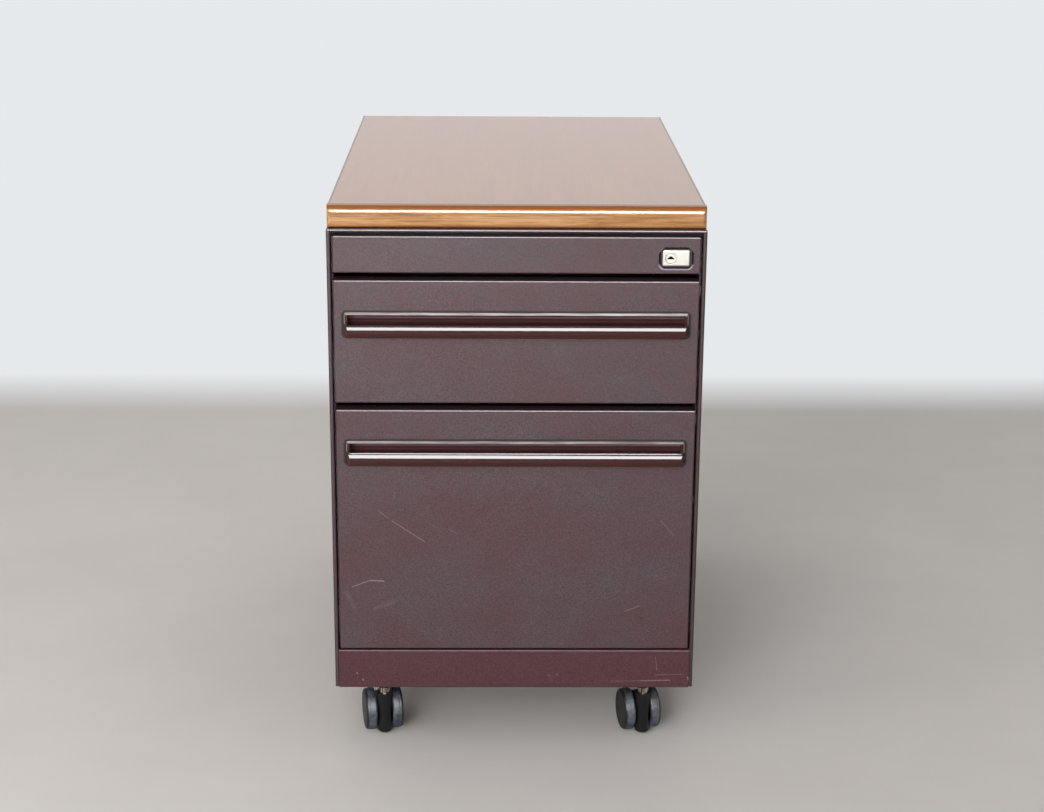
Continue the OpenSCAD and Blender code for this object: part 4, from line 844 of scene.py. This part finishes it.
class PEDESTAL_OT_castors(Operator):
    """Finish the castors"""

    bl_idname = "pedestal.castors"
    bl_label = "Castors"

    def execute(self, context):
        s = context.scene.pedestal_trim
        finishes = {
            "yoke": moulded_gloss("nylon_castor_body", s.castor, 0.32),
            "stem": turned_nickel("nickel_plated_stem", linear("#c9beb4"), linear("#3f322b")),
            "axle": zinc_plate("bright_steel_axle", linear("#b4b6b8"), 0.25),
        }
        rolls = [joint for joint in frame["joints"] if joint["name"].startswith("roll_")]
        axes = {joint["child"]: Vector(joint["axis"]) for joint in rolls}
        for name in NODES:
            kind, _, place = name.partition("_")
            if kind in finishes:
                dress(finishes[kind], name)
            elif kind == "wheel":
                self.finish_wheel(s, name, axes[name], "stem_" + place.rsplit("_", 1)[0])
        return {"FINISHED"}

    def finish_wheel(self, s, name, axis, stem):
        """Finishes a wheel, whose cover is on the side that faces away from the stem."""
        low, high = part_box(name)
        centre = (low + high) / 2
        stem_low, stem_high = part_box(stem)
        outward = axis if (centre - (stem_low + stem_high) / 2).dot(axis) > 0 else -axis
        along = [vertex.co.dot(axis) for vertex in NODES[name].data.vertices]
        middle = centre + axis * ((max(along) + min(along)) / 2 - centre.dot(axis))
        dress(rolled_tread("nylon_" + name, s.castor, s.tread, middle, outward, radius=(high.z - low.z) / 2,
                           width=max(along) - min(along), tread_width=s.tread_width), name)


class PEDESTAL_OT_fittings(Operator):
    """Add the rivets of the slides and the screws of the back panel"""

    bl_idname = "pedestal.fittings"
    bl_label = "Rivets and screws"

    # Sizes in millimetres. A head is an outline of radius and height, sunk a little into its sheet.
    wall = 1.0
    sides = 20
    rivet = ((3.4, -0.3), (3.4, 0.3), (2.9, 0.9), (1.6, 1.2), (0.01, 1.3))
    screw = ((3.6, -0.3), (3.6, 0.2), (3.2, 0.6), (2.2, 0.85), (1.9, 0.85), (1.7, 0.3), (0.01, 0.3))
    rivets_back = (-240, -50, 170)
    screws_inward = 8
    screws_up = (110, 270, 430, 590)

    def execute(self, context):
        zinc = zinc_plate("zinc_plated_rivets", linear("#c2c4c6"), 0.3)
        # Blacking leaves steel dark and half glossy, as polished nylon is
        black = moulded_gloss("blackened_steel_screws", linear("#1b1a1b"), 0.4)
        for drawer in ("box", "file"):
            low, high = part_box(drawer + "_shell")
            slide_low, slide_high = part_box(drawer + "_inner_slides")
            height = (slide_low.z + slide_high.z) / 2
            walls = ((low.x + self.wall * MM, (1, 0, 0)), (high.x - self.wall * MM, (-1, 0, 0)))
            heads = [((x, y * MM, height), axis) for x, axis in walls for y in self.rivets_back]
            self.make_heads(drawer + "_rivets", heads, self.rivet, zinc, drawer + "_drawer", "slide_steel")
        low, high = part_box("back_panel")
        edges = (low.x + self.screws_inward * MM, high.x - self.screws_inward * MM)
        heads = [((x, high.y, z * MM), (0, 1, 0)) for x in edges for z in self.screws_up]
        self.make_heads("back_screws", heads, self.screw, black, "cabinet", "iron")
        return {"FINISHED"}

    def make_heads(self, name, heads, outline, material, body, slot):
        """Makes one piece of heads of one outline, each at a place and along an axis."""
        mesh = bmesh.new()
        for place, axis in heads:
            lathe(mesh, [(radius * MM, height * MM) for radius, height in outline], place, axis, self.sides)
        piece(name, mesh, material, body)


class PEDESTAL_PT_panel(Panel):
    """Lists the steps that dress the pedestal"""

    bl_label = "Pedestal"
    bl_idname = "PEDESTAL_PT_panel"
    bl_space_type = "VIEW_3D"
    bl_region_type = "UI"
    bl_category = "Pedestal"

    def draw(self, context):
        for operator in OPERATORS:
            self.layout.operator(operator.bl_idname)
        for group in GROUPS:
            settings = getattr(context.scene, group)
            box = self.layout.box()
            for key in settings.__annotations__:
                box.prop(settings, key)


OPERATORS = (PEDESTAL_OT_stage, PEDESTAL_OT_steel, PEDESTAL_OT_wood, PEDESTAL_OT_trim, PEDESTAL_OT_castors,
             PEDESTAL_OT_fittings)
GROUPS = {
    "pedestal_paint": PedestalPaint,
    "pedestal_wood": PedestalWood,
    "pedestal_trim": PedestalTrim,
    "pedestal_stage": PedestalStage,
}


def register():
    for cls in (*GROUPS.values(), *OPERATORS, PEDESTAL_PT_panel):
        bpy.utils.register_class(cls)
    for name, cls in GROUPS.items():
        setattr(bpy.types.Scene, name, PointerProperty(type=cls))


def unregister():
    for name in GROUPS:
        delattr(bpy.types.Scene, name)
    for cls in reversed((*GROUPS.values(), *OPERATORS, PEDESTAL_PT_panel)):
        bpy.utils.unregister_class(cls)


def main():
    register()
    bpy.ops.pedestal.stage()
    bpy.ops.pedestal.steel()
    bpy.ops.pedestal.wood()
    bpy.ops.pedestal.trim()
    bpy.ops.pedestal.castors()
    bpy.ops.pedestal.fittings()


if __name__ == "__main__":
    main()
